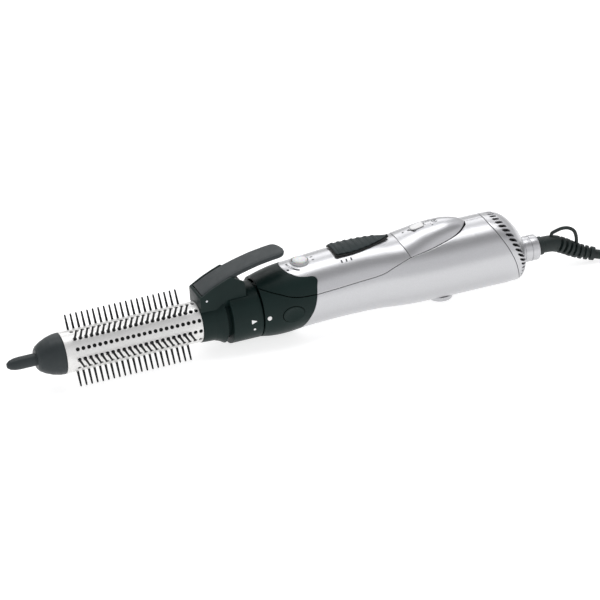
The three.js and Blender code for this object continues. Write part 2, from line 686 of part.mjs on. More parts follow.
function hankSolid(grow) {
  const shape = stadium(HANK.x, HANK.y, HANK.length + 2 * grow, HANK.width + 2 * grow);
  return topCut(shape, -AXIS_HEIGHT - grow, HANK.height - AXIS_HEIGHT + grow);
}

// A block around the middle of the hank, `inset` inside its outline.
function tieBlock(halfX, inset) {
  const y = HANK.width / 2 - inset;
  return box(
    HANK.x - halfX, HANK.x + halfX, HANK.y - y, HANK.y + y,
    inset - AXIS_HEIGHT, HANK.height - AXIS_HEIGHT - inset);
}

function cordParts() {
  const keepOut = hankSolid(GAP);
  add("cord_lead", cordTube(LEAD_PATH, CORD_R, 10, 16).subtract(keepOut), "rubber");
  add("cord_tail", cordTube(TAIL_PATH, CORD_R, 10, 6).subtract(keepOut), "rubber");
  const notch = tieBlock(TIE.half + GAP, -1).subtract(tieBlock(TIE.half + 1, TIE.thick + GAP));
  add("cord_hank", hankSolid(0).subtract(notch), "rubber");
  add("cord_tie", tieBlock(TIE.half, 0).subtract(tieBlock(TIE.half + 1, TIE.thick)), "rubber");
}

function plug() {
  const { x, y, z } = PLUG;
  const neck = disc(x, x + 14, 4.6, 20, z);
  const body = skin([[x + 13, 8, 7], [x + 20, 15, 11.5], [x + 40, 17.5, 12.8], [x + 46, 17.5, 12.8]].map(
    ([px, halfY, halfZ]) => ellipseRing(px, halfY, halfZ, z)));
  add("plug_body", neck.add(body).translate([0, y, 0]), "rubber");
  [-9.5, 9.5].forEach((dy, i) => {
    const pinSolid = turned([[x + 46.3, 0], [x + 46.3, 2.4], [x + 64, 2.4], [x + 65.3, 1.2], [x + 65.3, 0]], 16, z);
    add(`plug_pin_${i + 1}`, pinSolid.translate([0, y + dy, 0]), "brass");
  });
}

function ellipseRing(x, halfY, halfZ, z) {
  const ring = [];
  for (let j = 0; j < 28; j++) {
    const a = (2 * Math.PI * j) / 28;
    ring.push([x, halfY * Math.cos(a), z + halfZ * Math.sin(a)]);
  }
  return ring;
}

coolTip();
barrelTube();
pinStrips();
rearGuide();
camRod();
rootCollar();
lockRing();
thumbLever();
leverPin();
leverSpring();
bayonetRing();
handleShells();
slideSwitch();
coolButton();
releaseButton();
ionSlider();
heater();
blower();
electronics();
screws();
foot();
indexDot();
cordBush();
strainRelief();
hangingLoop();
cordParts();
plug();

export default brush;
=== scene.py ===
import math

import bmesh
import bpy
import numpy as np
from mathutils import Matrix, Vector


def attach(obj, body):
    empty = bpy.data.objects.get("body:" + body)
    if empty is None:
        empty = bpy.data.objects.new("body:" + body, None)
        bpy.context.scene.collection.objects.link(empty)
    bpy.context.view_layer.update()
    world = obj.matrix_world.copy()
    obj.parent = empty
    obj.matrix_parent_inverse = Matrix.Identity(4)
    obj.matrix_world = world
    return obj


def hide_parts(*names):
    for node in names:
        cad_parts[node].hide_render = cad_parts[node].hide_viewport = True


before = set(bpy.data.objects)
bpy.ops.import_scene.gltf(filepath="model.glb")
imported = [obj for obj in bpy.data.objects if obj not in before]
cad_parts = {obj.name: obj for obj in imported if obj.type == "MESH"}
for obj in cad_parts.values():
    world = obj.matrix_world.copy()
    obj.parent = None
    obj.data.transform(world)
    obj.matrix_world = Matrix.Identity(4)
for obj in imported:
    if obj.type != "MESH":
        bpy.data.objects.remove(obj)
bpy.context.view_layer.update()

# Shapes are worked out in millimetres along the brush: x from the stalk's tip to the cord, y and z from
# the barrel's axis, -y the side of the release button. An angle starts at -y and turns towards +z.
AXIS = Vector((-0.1708, 0.0, 0.0189))
TAU = 2 * math.pi


def place(p):
    """A point of the brush in the row frame, in metres."""
    return AXIS + Vector(p) / 1000


def in_scene(name, data):
    o = bpy.data.objects.new(name, data)
    bpy.context.scene.collection.objects.link(o)
    return o


# ---- camera, floor and light ----
FRONT, REAR = 0.85, 0.62  # brightness of the studio at the floor, in front and behind
WALL_LEVELS = ((34, 0.9), (58, 0.36), (76, 0.3), (97, 1.0), (120, 0.8))  # degrees over the front, brightness


def make_camera():
    back = Vector((-0.316, -0.8217, 0.4743)).normalized()
    up = Vector((0, 0.5, 0.866)).normalized()
    side = up.cross(back)
    roll = math.radians(13.25)
    right = side * math.cos(roll) - up * math.sin(roll)
    top = side * math.sin(roll) + up * math.cos(roll)
    data = bpy.data.cameras.new("camera")
    data.lens, data.sensor_width = 171, 36
    data.clip_start, data.clip_end = 0.05, 20
    cam = in_scene("camera", data)
    spot = place((183.8, 0, 0)) + back * 1.71 + right * 0.00036 - top * 0.00156
    turn = Matrix((right, top, back)).transposed()
    cam.matrix_world = Matrix.Translation(spot) @ turn.to_4x4()
    bpy.context.scene.camera = cam


def make_world():
    """A studio round the x axis: a pale front wall, a grey strip high in front, light from above."""
    world = bpy.data.worlds.new("studio")
    bpy.context.scene.world = world
    world.use_nodes = True
    nt = world.node_tree
    nt.nodes.clear()
    coord, split, flip, turn, share, ramp, sky, out = (nt.nodes.new("ShaderNode" + kind) for kind in (
        "TexCoord", "SeparateXYZ", "Math", "Math", "Math", "ValToRGB", "Background", "OutputWorld"))
    flip.operation, turn.operation, share.operation = "MULTIPLY", "ARCTAN2", "DIVIDE"
    flip.inputs[1].default_value = -1
    share.inputs[1].default_value = math.pi
    ramp.color_ramp.interpolation = "EASE"
    for a, b in ((coord.outputs["Generated"], split.inputs[0]), (split.outputs["Y"], flip.inputs[0]),
                 (split.outputs["Z"], turn.inputs[0]), (flip.outputs[0], turn.inputs[1]),
                 (turn.outputs[0], share.inputs[0]), (share.outputs[0], ramp.inputs[0]),
                 (ramp.outputs[0], sky.inputs["Color"]), (sky.outputs[0], out.inputs[0])):
        nt.links.new(a, b)
    stops = ramp.color_ramp.elements
    stops[0].position, stops[0].color = 0.0, (FRONT, FRONT, FRONT * 1.02, 1)
    stops[1].position, stops[1].color = 1.0, (REAR, REAR, REAR, 1)
    for degrees, level in WALL_LEVELS:
        stop = stops.new(degrees / 180)
        stop.color = (level, level, level * 1.02, 1)
    sky.inputs["Strength"].default_value = 1.0


def soft_box(name, spot, target, size, power):
    data = bpy.data.lights.new(name, "AREA")
    data.shape, data.size, data.size_y, data.energy = "RECTANGLE", size[0], size[1], power
    o = in_scene(name, data)
    o.location = spot
    o.rotation_mode = "QUATERNION"
    o.rotation_quaternion = (Vector(target) - Vector(spot)).to_track_quat("-Z", "Y")


# ---- materials ----
class Shader:
    """A principled material with the few nodes that the finishes share."""

    def __init__(self, name, color, rough, metallic=0.0, coat=0.0, coat_rough=0.1, spec=0.5):
        self.material = bpy.data.materials.new(name)
        self.material.use_nodes = True
        self.tree = self.material.node_tree
        self.bsdf = self.tree.nodes["Principled BSDF"]
        self.color = color
        self.rough = rough
        self.coord = self.tree.nodes.new("ShaderNodeTexCoord").outputs["Object"]
        values = {"Base Color": (*color, 1), "Roughness": rough, "Metallic": metallic, "Coat Weight": coat,
                  "Coat Roughness": coat_rough, "Specular IOR Level": spec}
        for key, value in values.items():
            self.bsdf.inputs[key].default_value = value

    def node(self, kind, **values):
        n = self.tree.nodes.new(kind)
        for key, value in values.items():
            n.inputs[key].default_value = value
        return n

    def link(self, a, b):
        self.tree.links.new(a, b)

    def stretched(self, scale):
        mapping = self.node("ShaderNodeMapping", Scale=scale)
        self.link(self.coord, mapping.inputs["Vector"])
        return mapping.outputs[0]

    def noise(self, scale, detail=3.0, vector=None):
        n = self.node("ShaderNodeTexNoise", Scale=scale, Detail=detail)
        self.link(vector or self.coord, n.inputs["Vector"])
        return n.outputs["Fac"]

    def cells(self, scale, feature="F1"):
        n = self.node("ShaderNodeTexVoronoi", Scale=scale)
        n.feature = feature
        self.link(self.coord, n.inputs["Vector"])
        return n

    def tint(self, fac, spread, other=None):
        """Colour from a little darker to a little lighter, or towards another colour."""
        ramp = self.tree.nodes.new("ShaderNodeValToRGB")
        low, high = ramp.color_ramp.elements
        low.position, high.position = 0.3, 0.7
        low.color = (*[c * (1 - spread) for c in self.color], 1)
        high.color = (*(other or [min(1, c * (1 + spread)) for c in self.color]), 1)
        self.link(fac, ramp.inputs[0])
        self.link(ramp.outputs[0], self.bsdf.inputs["Base Color"])
        return ramp

    def vary_rough(self, fac, spread):
        span = self.node("ShaderNodeMapRange", **{"From Min": 0.3, "From Max": 0.7, "To Min": self.rough - spread,
                                                  "To Max": self.rough + spread})
        self.link(fac, span.inputs["Value"])
        self.link(span.outputs[0], self.bsdf.inputs["Roughness"])

    def bump(self, height, strength, distance):
        n = self.node("ShaderNodeBump", Strength=strength, Distance=distance)
        self.link(height, n.inputs["Height"])
        self.link(n.outputs[0], self.bsdf.inputs["Normal"])


def plastic(name, color, rough, grain=2600, bump=0.25, spread=0.08, **more):
    s = Shader(name, color, rough, **more)
    s.tint(s.noise(90, 4), spread)
    s.vary_rough(s.noise(240, 3), 0.05)
    s.bump(s.noise(grain, 2), bump, 0.00006)
    return s.material


def lacquer(name, color):
    """Silver paint: fine metal flakes under a clear coat."""
    s = Shader(name, color, 0.3, metallic=0.85, coat=0.12, coat_rough=0.15)
    flakes = s.cells(2600)
    s.tint(flakes.outputs["Color"], 0.025)
    s.vary_rough(s.noise(140, 3), 0.02)
    s.bump(s.noise(1600, 2), 0.02, 0.00002)
    return s.material


def metal(name, color, rough, stretch, scale=900):
    s = Shader(name, color, rough, metallic=1.0)
    lines = s.noise(scale, 3, s.stretched(stretch))
    s.tint(lines, 0.1)
    s.vary_rough(lines, 0.08)
    s.bump(lines, 0.15, 0.00003)
    return s.material


def ceramic(name, color):
    """Pearl coating on aluminium."""
    s = Shader(name, color, 0.34, metallic=0.35, coat=0.3, coat_rough=0.2)
    s.tint(s.cells(3800).outputs["Color"], 0.05)
    s.vary_rough(s.noise(300, 4), 0.06)
    s.bump(s.noise(3000, 2), 0.12, 0.00003)
    return s.material


def flex_rubber(name, color):
    s = Shader(name, color, 0.5, spec=0.4)
    s.tint(s.noise(160, 5), 0.14)
    s.vary_rough(s.noise(500, 3), 0.08)
    s.bump(s.noise(2200, 3), 0.3, 0.00008)
    return s.material


def layered(name, color, other, rough, stretch):
    s = Shader(name, color, rough)
    s.tint(s.noise(220, 6, s.stretched(stretch)), 0.1, other)
    s.bump(s.noise(900, 4, s.stretched(stretch)), 0.4, 0.0001)
    return s.material


def board(name):
    s = Shader(name, (0.03, 0.14, 0.05), 0.35, coat=0.3)
    tracks = s.cells(420, feature="DISTANCE_TO_EDGE")
    ramp = s.tint(tracks.outputs["Distance"], 0.1, (0.02, 0.1, 0.035))
    ramp.color_ramp.elements[0].position, ramp.color_ramp.elements[1].position = 0.04, 0.08
    ramp.color_ramp.elements[0].color = (0.09, 0.28, 0.09, 1)
    s.bump(tracks.outputs["Distance"], 0.3, 0.00005)
    return s.material


def clear_plastic(name):
    s = Shader(name, (0.9, 0.905, 0.91), 0.2, coat=0.5, coat_rough=0.08)
    s.bsdf.inputs["Transmission Weight"].default_value = 0.2
    s.bsdf.inputs["Subsurface Weight"].default_value = 0.3
    s.bsdf.inputs["Subsurface Scale"].default_value = 0.002
    s.tint(s.noise(700, 3), 0.06)
    s.bump(s.noise(900, 2), 0.12, 0.00006)
    return s.material


# ---- meshes ----
def circle(sides):
    """The cosine and sine of each of `sides` directions."""
    return [(math.cos(TAU * j / sides), math.sin(TAU * j / sides)) for j in range(sides)]


def to_mesh(name, verts, faces):
    mesh = bpy.data.meshes.new(name)
    mesh.from_pydata([place(v) for v in verts], [], faces)
    mesh.validate()
    mesh.update()
    return mesh


def turned_to(mesh, way):
    """The mesh with its faces towards `way`."""
    if sum(p.normal.dot(way) for p in mesh.polygons) < 0:
        mesh.flip_normals()
    return mesh


def edited(mesh, change):
    """The mesh after `change` has worked on it as a bmesh."""
    bm = bmesh.new()
    bm.from_mesh(mesh)
    change(bm)
    bm.to_mesh(mesh)
    bm.free()
    return mesh


def face_out(mesh):
    def change(bm):
        bmesh.ops.remove_doubles(bm, verts=bm.verts, dist=1e-7)
        bmesh.ops.recalc_face_normals(bm, faces=bm.faces)

    return edited(mesh, change)


def joined(name, meshes):
    bm = bmesh.new()
    for m in meshes:
        bm.from_mesh(m)
    mesh = bpy.data.meshes.new(name)
    bm.to_mesh(mesh)
    bm.free()
    return mesh


def with_modifiers(mesh, steps):
    """The mesh after each modifier in turn: (type, {setting: value}); a Mesh value becomes its object."""
    temp = []

    def stand(m):
        temp.append(in_scene("temp", m))
        return temp[-1]

    o = stand(mesh)
    for kind, settings in steps:
        mod = o.modifiers.new(kind, kind)
        for key, value in settings.items():
            setattr(mod, key, stand(value) if isinstance(value, bpy.types.Mesh) else value)
    bpy.context.view_layer.update()
    graph = bpy.context.evaluated_depsgraph_get()
    made = bpy.data.meshes.new_from_object(o.evaluated_get(graph))
    for t in temp:
        bpy.data.objects.remove(t)
    return made


def wall(thick):
    return ("SOLIDIFY", {"thickness": thick / 1000, "offset": -1, "use_even_offset": False})


def cut(mesh, mode="DIFFERENCE"):
    return ("BOOLEAN", {"object": mesh, "operation": mode, "solver": "EXACT"})


def soft_edges(width, segments=2, angle=38):
    return ("BEVEL", {"width": width / 1000, "segments": segments, "limit_method": "ANGLE",
                      "angle_limit": math.radians(angle), "miter_outer": "MITER_ARC"})


def quads(rows, n, around=True):
    """Faces between rows of n points; `around` closes each row."""
    return [(i * n + j, i * n + (j + 1) % n, (i + 1) * n + (j + 1) % n, (i + 1) * n + j)
            for i in range(rows - 1) for j in range(n if around else n - 1)]


def filled(mesh, recalc=True):
    """The mesh with its open edges closed."""
    def change(bm):
        bmesh.ops.holes_fill(bm, edges=[e for e in bm.edges if e.is_boundary])
        if recalc:
            bmesh.ops.recalc_face_normals(bm, faces=bm.faces)

    return edited(mesh, change)


def grid(name, points, around=False):
    """Quads over points[i][j]; `around` closes the second direction."""
    pts = np.asarray(points, float)
    nu, nv = pts.shape[:2]
    mesh = to_mesh(name, pts.reshape(-1, 3), quads(nu, nv, around))
    middle = place(pts.reshape(-1, 3).mean(0) * [1, 0, 0])
    lean = sum((p.center - middle).dot(p.normal) * p.area for p in mesh.polygons)
    if lean < 0:
        mesh.flip_normals()
    return mesh


def lathe(name, profile, sides=96, y=0.0, z=0.0, closed=False):
    verts, rings, faces = [], [], []
    for x, r in profile:
        if r < 1e-6:
            rings.append([len(verts)])
            verts.append((x, y, z))
        else:
            rings.append(list(range(len(verts), len(verts) + sides)))
            verts += [(x, y - r * c, z + r * s) for c, s in circle(sides)]
    pairs = list(zip(rings, rings[1:])) + ([(rings[-1], rings[0])] if closed else [])
    for a, b in pairs:
        for j in range(sides):
            k = (j + 1) % sides
            if len(a) == 1:
                faces.append((a[0], b[k], b[j]))
            elif len(b) == 1:
                faces.append((a[j], a[k], b[0]))
            else:
                faces.append((a[j], a[k], b[k], b[j]))
    return face_out(to_mesh(name, verts, faces))


def rounded(points, radius, steps=4, closed=False):
    """The outline with its corners rounded; radius is one number or one for each point."""
    out = []
    n = len(points)
    for i, p in enumerate(points):
        r = radius[i] if hasattr(radius, "__len__") else radius
        if r <= 0 or (not closed and i in (0, n - 1)):
            out.append(tuple(p))
            continue
        p = np.array(p, float)
        a, b = np.array(points[i - 1], float) - p, np.array(points[(i + 1) % n], float) - p
        la, lb = np.linalg.norm(a), np.linalg.norm(b)
        a, b = a / la, b / lb
        turn = math.acos(max(-1, min(1, float(a @ b))))
        if turn > 3.0:
            out.append(tuple(p))
            continue
        t = min(r / math.tan(turn / 2), 0.48 * la, 0.48 * lb)
        for k in range(steps + 1):
            s = k / steps
            out.append(tuple((1 - s) ** 2 * (p + a * t) + 2 * s * (1 - s) * p + s * s * (p + b * t)))
    return out


def prism(name, outline, low, high, plane="xz"):
    """An outline made solid along the axis that `plane` leaves out."""
    n = len(outline)
    order = {"xz": lambda p, h: (p[0], h, p[1]), "xy": lambda p, h: (p[0], p[1], h),
             "yz": lambda p, h: (h, p[0], p[1])}[plane]
    verts = [order(p, low) for p in outline] + [order(p, high) for p in outline]
    faces = [tuple(range(n))[::-1], tuple(range(n, 2 * n))] + quads(2, n)
    return face_out(to_mesh(name, verts, faces))


def ellipse(x, y, half_x, half_y, sides=48):
    return [(x + half_x * c, y + half_y * s) for c, s in circle(sides)]


def stadium(x, y, length, width, sides=32):
    """Long along x; if width is the larger, long along y."""
    r = min(length, width) / 2
    dx, dy = max(0, length / 2 - r), max(0, width / 2 - r)
    out = []
    for i in range(sides):
        a = TAU * (i + 0.5) / sides
        c, s = math.cos(a), math.sin(a)
        out.append((x + math.copysign(dx, c) + r * c, y + math.copysign(dy, s) + r * s))
    return out


def smooth_line(points, per=8):
    """Points along a centripetal curve through the given ones."""
    p = np.array(points, float)
    p = np.vstack([2 * p[0] - p[1], p, 2 * p[-1] - p[-2]])
    out = []
    for i in range(1, len(p) - 2):
        q = p[i - 1:i + 3]
        t = np.concatenate([[0], np.cumsum(np.sqrt(np.linalg.norm(np.diff(q, axis=0), axis=1)) + 1e-9)])
        for k in range(per):
            u = t[1] + (t[2] - t[1]) * k / per
            a = [(q[j] * (t[j + 1] - u) + q[j + 1] * (u - t[j])) / (t[j + 1] - t[j]) for j in range(3)]
            b = [(a[j] * (t[j + 2] - u) + a[j + 1] * (u - t[j])) / (t[j + 2] - t[j]) for j in range(2)]
            out.append((b[0] * (t[2] - u) + b[1] * (u - t[1])) / (t[2] - t[1]))
    out.append(p[-2])
    return np.array(out)


def outline_curve(points):
    return smooth_line([(x, z, 0) for x, z in points], 8)


def spaced(line, step):
    along = np.concatenate([[0], np.cumsum(np.linalg.norm(np.diff(line, axis=0), axis=1))])
    at = np.linspace(0, along[-1], max(2, int(round(along[-1] / step)) + 1))
    return np.stack([np.interp(at, along, line[:, k]) for k in range(3)], axis=1), at


def sweep(name, line, radii, sides):
    """A round tube along a line with its own radius at each point."""
    line = np.asarray(line, float)
    tangent = np.gradient(line, axis=0)
    tangent /= np.linalg.norm(tangent, axis=1)[:, None]
    normal = np.cross(tangent[0], [0.0, 1.0, 0.0])
    rings = []
    for i, p in enumerate(line):
        normal = normal - (normal @ tangent[i]) * tangent[i]
        normal /= np.linalg.norm(normal)
        other = np.cross(tangent[i], normal)
        a = np.arange(sides) * TAU / sides
        rings.append(p + radii[i] * (np.cos(a)[:, None] * normal + np.sin(a)[:, None] * other))
    rings = np.array(rings)
    n = len(rings)
    faces = quads(n, sides) + [tuple(range(sides))[::-1], tuple(range((n - 1) * sides, n * sides))]
    return face_out(to_mesh(name, rings.reshape(-1, 3), faces))


def turned_about(points, angle):
    """Points made at angle 90 (straight up) turned about the barrel's axis to another angle, in degrees."""
    a = math.radians(angle - 90)
    c, s = math.cos(a), math.sin(a)
    return [(x, y * c + z * s, z * c - y * s) for x, y, z in points]


def piece(name, mesh, body, finish, nodes=(), sharp=34):
    mesh.materials.clear()
    for f in finish if isinstance(finish, list) else [finish]:
        mesh.materials.append(f)
    mesh.shade_smooth()
    mesh.set_sharp_from_angle(angle=math.radians(sharp))
    o = in_scene(name, mesh)
    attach(o, body)
    if nodes:
        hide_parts(*nodes)
    return o


SILVER = lacquer("silver_lacquer", (0.53, 0.532, 0.545))
PEARL = ceramic("pearl_ceramic", (0.80, 0.795, 0.78))
BLACK = plastic("greenish_black", (0.0065, 0.017, 0.0155), 0.4, spec=0.15)
SLATE = plastic("slate_grey", (0.027, 0.034, 0.036), 0.42, spec=0.26)
SWITCH = plastic("switch_grip", (0.017, 0.026, 0.027), 0.5, spec=0.2)
DARK = plastic("deep_black", (0.003, 0.004, 0.004), 0.5, spec=0.25)
NYLON = plastic("pin_nylon", (0.006, 0.007, 0.008), 0.42, grain=4000, spec=0.25)
WHITE = plastic("white_moulding", (0.82, 0.82, 0.81), 0.35, bump=0.12, spread=0.03)
PRINT = plastic("dark_print", (0.03, 0.032, 0.036), 0.5, bump=0.1)
GREY = plastic("grey_rim", (0.36, 0.365, 0.37), 0.4, bump=0.1, spread=0.03)
PALE_PRINT = plastic("pale_print", (0.86, 0.86, 0.86), 0.5, bump=0.1, spread=0.02)
FROSTED = clear_plastic("frosted_clear")
RUBBER = flex_rubber("cord_rubber", (0.006, 0.013, 0.012))
STEEL = metal("turned_steel", (0.62, 0.63, 0.65), 0.3, (1, 12, 12))
WIRE = metal("nichrome_wire", (0.32, 0.30, 0.29), 0.42, (6, 1, 1), 1600)
BRASS = metal("nickel_brass", (0.78, 0.66, 0.42), 0.22, (10, 1, 1), 700)
MICA = layered("mica_sheet", (0.46, 0.36, 0.2), (0.62, 0.52, 0.33), 0.55, (1, 1, 6))
BOARD = board("green_board")


# ---- the shell surfaces ----
FLAT_Z = -18.6  # the flat underside
REAR_Z = -3.4  # height of the cord bush's axis
COOL_X = 185.3
RELEASE_X, RELEASE_Z = 172, 1.3
DOT_X = 157.3
SPLIT = 0.16  # half of the gap between two shells
HANDLE = [
    (154.6, 18.4, 1.1), (160, 19.6, 1.4), (166, 20.5, 1.9), (172, 20.9, 2.5), (184, 20.9, 3.6), (203, 21.3, 4.8),
    (222, 21.7, 5.2), (233, 21.9, 4.9), (242, 22.1, 4.1), (254, 22.4, 3.4), (274, 22.5, 3), (312, 22.6, 2.9),
    (316, 22.3, 2.5), (320, 21.2, 1.5), (324, 19.2, -0.6), (326, 17.4, -1.5), (328, 14.5, -2.2), (329.4, 10.6, -3),
]
POD = [
    (244, 21.7, 4.0), (247, 21.5, 4.7), (251, 20.4, 6.6), (258, 18, 10.4), (265, 16, 13.8), (274, 13.5, 17.1),
    (280, 11.8, 18.8), (286, 9, 20.6), (290.5, 5.2, 22.9), (293.2, 1.6, 24.6),
]
FRONT_EDGE = [
    (172.4, 23.4), (173.6, 22.6), (175.7, 21.8), (178.9, 20.6), (183, 20), (187.8, 19.7), (189.3, 19), (189.7, 17.6),
    (188.7, 15.2), (187.6, 10.5), (186.7, 6.7), (185.1, 1.2), (183.1, -3.5), (180.6, -9.6), (177, -18.2),
]
SEAM_ROW = 9
SIDE_SEAM = [
    (187.6, 10.5), (201, 11.4), (213.6, 12.4), (230.5, 13.7), (238.8, 15.9), (250.5, 18.5), (264.9, 20.2),
    (278.5, 22.3), (285.7, 23.7), (290.9, 25.1), (293.4, 25.6),
]
CAP_SEAM = [(305.8, 25.5), (311.2, 16.2), (316.7, 4.3), (322.6, -12), (325.8, -18.3)]
GROOVE = [
    (154.6, 17.3), (158.3, 16.3), (162.1, 15.1), (166.1, 13.9), (170.2, 12.4), (174.5, 11.3), (179.5, 10.7),
    (187.6, 10.5),
]


class Tube:
    """Circles across x through smoothed rows of x, radius and centre height."""

    def __init__(self, rows):
        self.rows = smooth_line(rows, 12)

    def at(self, x):
        x = np.asarray(x, float)
        return np.interp(x, self.rows[:, 0], self.rows[:, 1]), np.interp(x, self.rows[:, 0], self.rows[:, 2])

    def point(self, x, a, lift=0.0):
        r, zc = self.at(x)
        y = -(r + lift) * np.cos(a)
        z = zc + (r + lift) * np.sin(a)
        over = z - FLAT_Z + lift
        z = FLAT_Z - lift + (over + np.sqrt(over * over + 0.36)) / 2
        return np.stack([x + 0 * y, y, z], axis=-1)

    def angle(self, x, z):
        r, zc = self.at(x)
        return np.arcsin(np.clip((np.asarray(z) - zc) / r, -1, 1))


GRIP = Tube(HANDLE)
HUMP = Tube(POD)


def edge_line(tube, points, count, ends):
    """`count` places (x, angle) evenly along an outline given as x, z.
    `ends` sets the angle at the start, unless it is None, and at the end."""
    line, _ = spaced(outline_curve(points), 0.2)
    xa = np.stack([line[:, 0], tube.angle(line[:, 0], line[:, 1])], axis=1)
    if ends[0] is not None:
        xa[0, 1] = ends[0]
    xa[-1, 1] = ends[1]
    r = tube.at(xa[:, 0])[0]
    steps = np.hypot(np.diff(xa[:, 0]), np.diff(xa[:, 1]) * (r[1:] + 0.01))
    along = np.concatenate([[0], np.cumsum(steps)])
    at = np.linspace(0, along[-1], count)
    return np.stack([np.interp(at, along, xa[:, 0]), np.interp(at, along, xa[:, 1])], axis=1)


def shell_patch(tube, front, rear, side, columns, top):
    """Places (x, angle) between a front and a rear edge; `side` is the outline, x and z, of the first row.
    The rows are mirrored to the far side past the last one, where the angle is `top`."""
    front, rear = np.array(front), np.array(rear)
    w = np.linspace(0, 1, len(front))[None, :]
    u = np.asarray(columns)[:, None]
    x = front[None, :, 0] * (1 - u) + rear[None, :, 0] * u
    a = front[None, :, 1] * (1 - u) + rear[None, :, 1] * u
    line = outline_curve(side)
    wanted = tube.angle(x[:, 0], np.interp(x[:, 0], line[:, 0], line[:, 1]))
    past = x[:, 0] > line[-1, 0]
    wanted[past] = math.pi / 2
    shift = wanted - a[:, 0]
    shift[0] = shift[-1] = 0
    a = a + shift[:, None] * (1 - w) ** 2
    mirrored = math.copysign(math.pi, top) - a[:, -2::-1]
    return np.concatenate([x, x[:, -2::-1]], axis=1), np.concatenate([a, mirrored], axis=1)


def shell(name, tube, xa, thick=1.7, cuts=(), edge=0.28):
    x, a = xa
    mesh = grid(name, tube.point(x, a))
    steps = [wall(thick)] + [cut(c) for c in cuts] + ([soft_edges(edge, 3, 50)] if edge else [])
    return with_modifiers(mesh, steps)


def dense(parts):
    """Places from 0 to 1 along an edge, closer together near the ends."""
    t = np.linspace(0, 1, parts)
    return t * 0.75 + 0.25 * (3 * t * t - 2 * t ** 3)


def moved(points, dx=0.0, dz=0.0):
    return [(x + dx, z + dz) for x, z in points]


def make_shells():
    up = math.pi / 2
    release_hole = prism("hole", ellipse(RELEASE_X, RELEASE_Z, 7.0, 5.3), -30, -10)
    dot_hole = prism("hole", ellipse(DOT_X, RELEASE_Z, 1.6, 1.6, 32), -30, -18.2)
    seam_front, seam_rear = FRONT_EDGE[:SEAM_ROW + 1], FRONT_EDGE[SEAM_ROW:]
    groove_up, groove_down = moved(GROOVE, 0, 0.28), moved(GROOVE, 0, -0.28)

    front = edge_line(GRIP, [(154.6, 17.5), (154.6, 18.6), (154.6, 19.5)], 34, (None, up))
    # rows crowded low on the front edge keep the hood from folding where its rear edge runs nearly level
    front[:, 1] = front[0, 1] + (up - front[0, 1]) * np.linspace(0, 1, 34) ** 3
    rear = edge_line(GRIP, moved(seam_front[::-1], -SPLIT, 0.1), 34, (None, up))
    high = shell("nozzle_hood", GRIP, shell_patch(GRIP, front, rear, groove_up, dense(56), up), edge=0.2)
    front = edge_line(GRIP, [(154.6, 17.1), (154.6, 10), (154.6, 0), (154.6, -10), (154.6, -17.3)], 40, (None, -up))
    rear = edge_line(GRIP, moved(seam_rear, -SPLIT, -0.1), 40, (None, -up))
    low = shell("nozzle_body", GRIP, shell_patch(GRIP, front, rear, groove_down, dense(56), -up),
                cuts=[release_hole, dot_hole])
    piece("nozzle", joined("nozzle", [high, low]), "handle", BLACK, ["nozzle_housing"])

    seam = moved(SIDE_SEAM, 0, SPLIT)
    joint = [(250.4 - SPLIT, 18.5 + SPLIT), (249, 21.5), (247.6 - SPLIT, 24.6), (246.9 - SPLIT, 26)]
    front = edge_line(GRIP, moved(seam_front[::-1], SPLIT, 0.1), 40, (None, up))
    rear = edge_line(GRIP, joint, 40, (None, up))
    well = prism("well", ellipse(COOL_X, 0, 5.05, 5.05), 15, 40, "xy")
    slot = prism("slot", stadium(221.9, 0, 12.4, 3.6), 15, 40, "xy")
    top = shell("top_shell", GRIP, shell_patch(GRIP, front, rear, seam, dense(90), up), cuts=[well, slot])
    piece("top_shell", top, "handle", SILVER, ["upper_shell"])

    seam = moved(SIDE_SEAM, 0, -SPLIT)
    front = edge_line(GRIP, moved(seam_rear, SPLIT, -0.1), 56, (None, -up))
    rear = edge_line(GRIP, moved(CAP_SEAM, -SPLIT), 56, (up, -up))
    columns = np.linspace(0, 1, 120)
    body = shell("body_shell", GRIP, shell_patch(GRIP, front, rear, seam, columns, -up))
    piece("body_shell", body, "handle", SILVER, ["lower_shell"])

    seam = moved(SIDE_SEAM[5:], 0, SPLIT)
    joint = [(250.4 + SPLIT, 18.5 + SPLIT), (249 + 2 * SPLIT, 21.5), (247.6 + SPLIT, 24.6), (246.9 + SPLIT, 26)]
    front = edge_line(HUMP, joint, 36, (None, up))
    rear = edge_line(HUMP, [(293.1, 25.6), (293.1, 25.9), (293.1, 26.2)], 36, (None, up))
    slider_slot = prism("slot", stadium(262.8, 0, 8.4, 3.4), 15, 40, "xy")
    pod = shell("pod", HUMP, shell_patch(HUMP, front, rear, seam, dense(70), up), 1.4, [slider_slot])
    piece("pod", pod, "handle", SILVER, ["pod_cover"])
    make_cap()


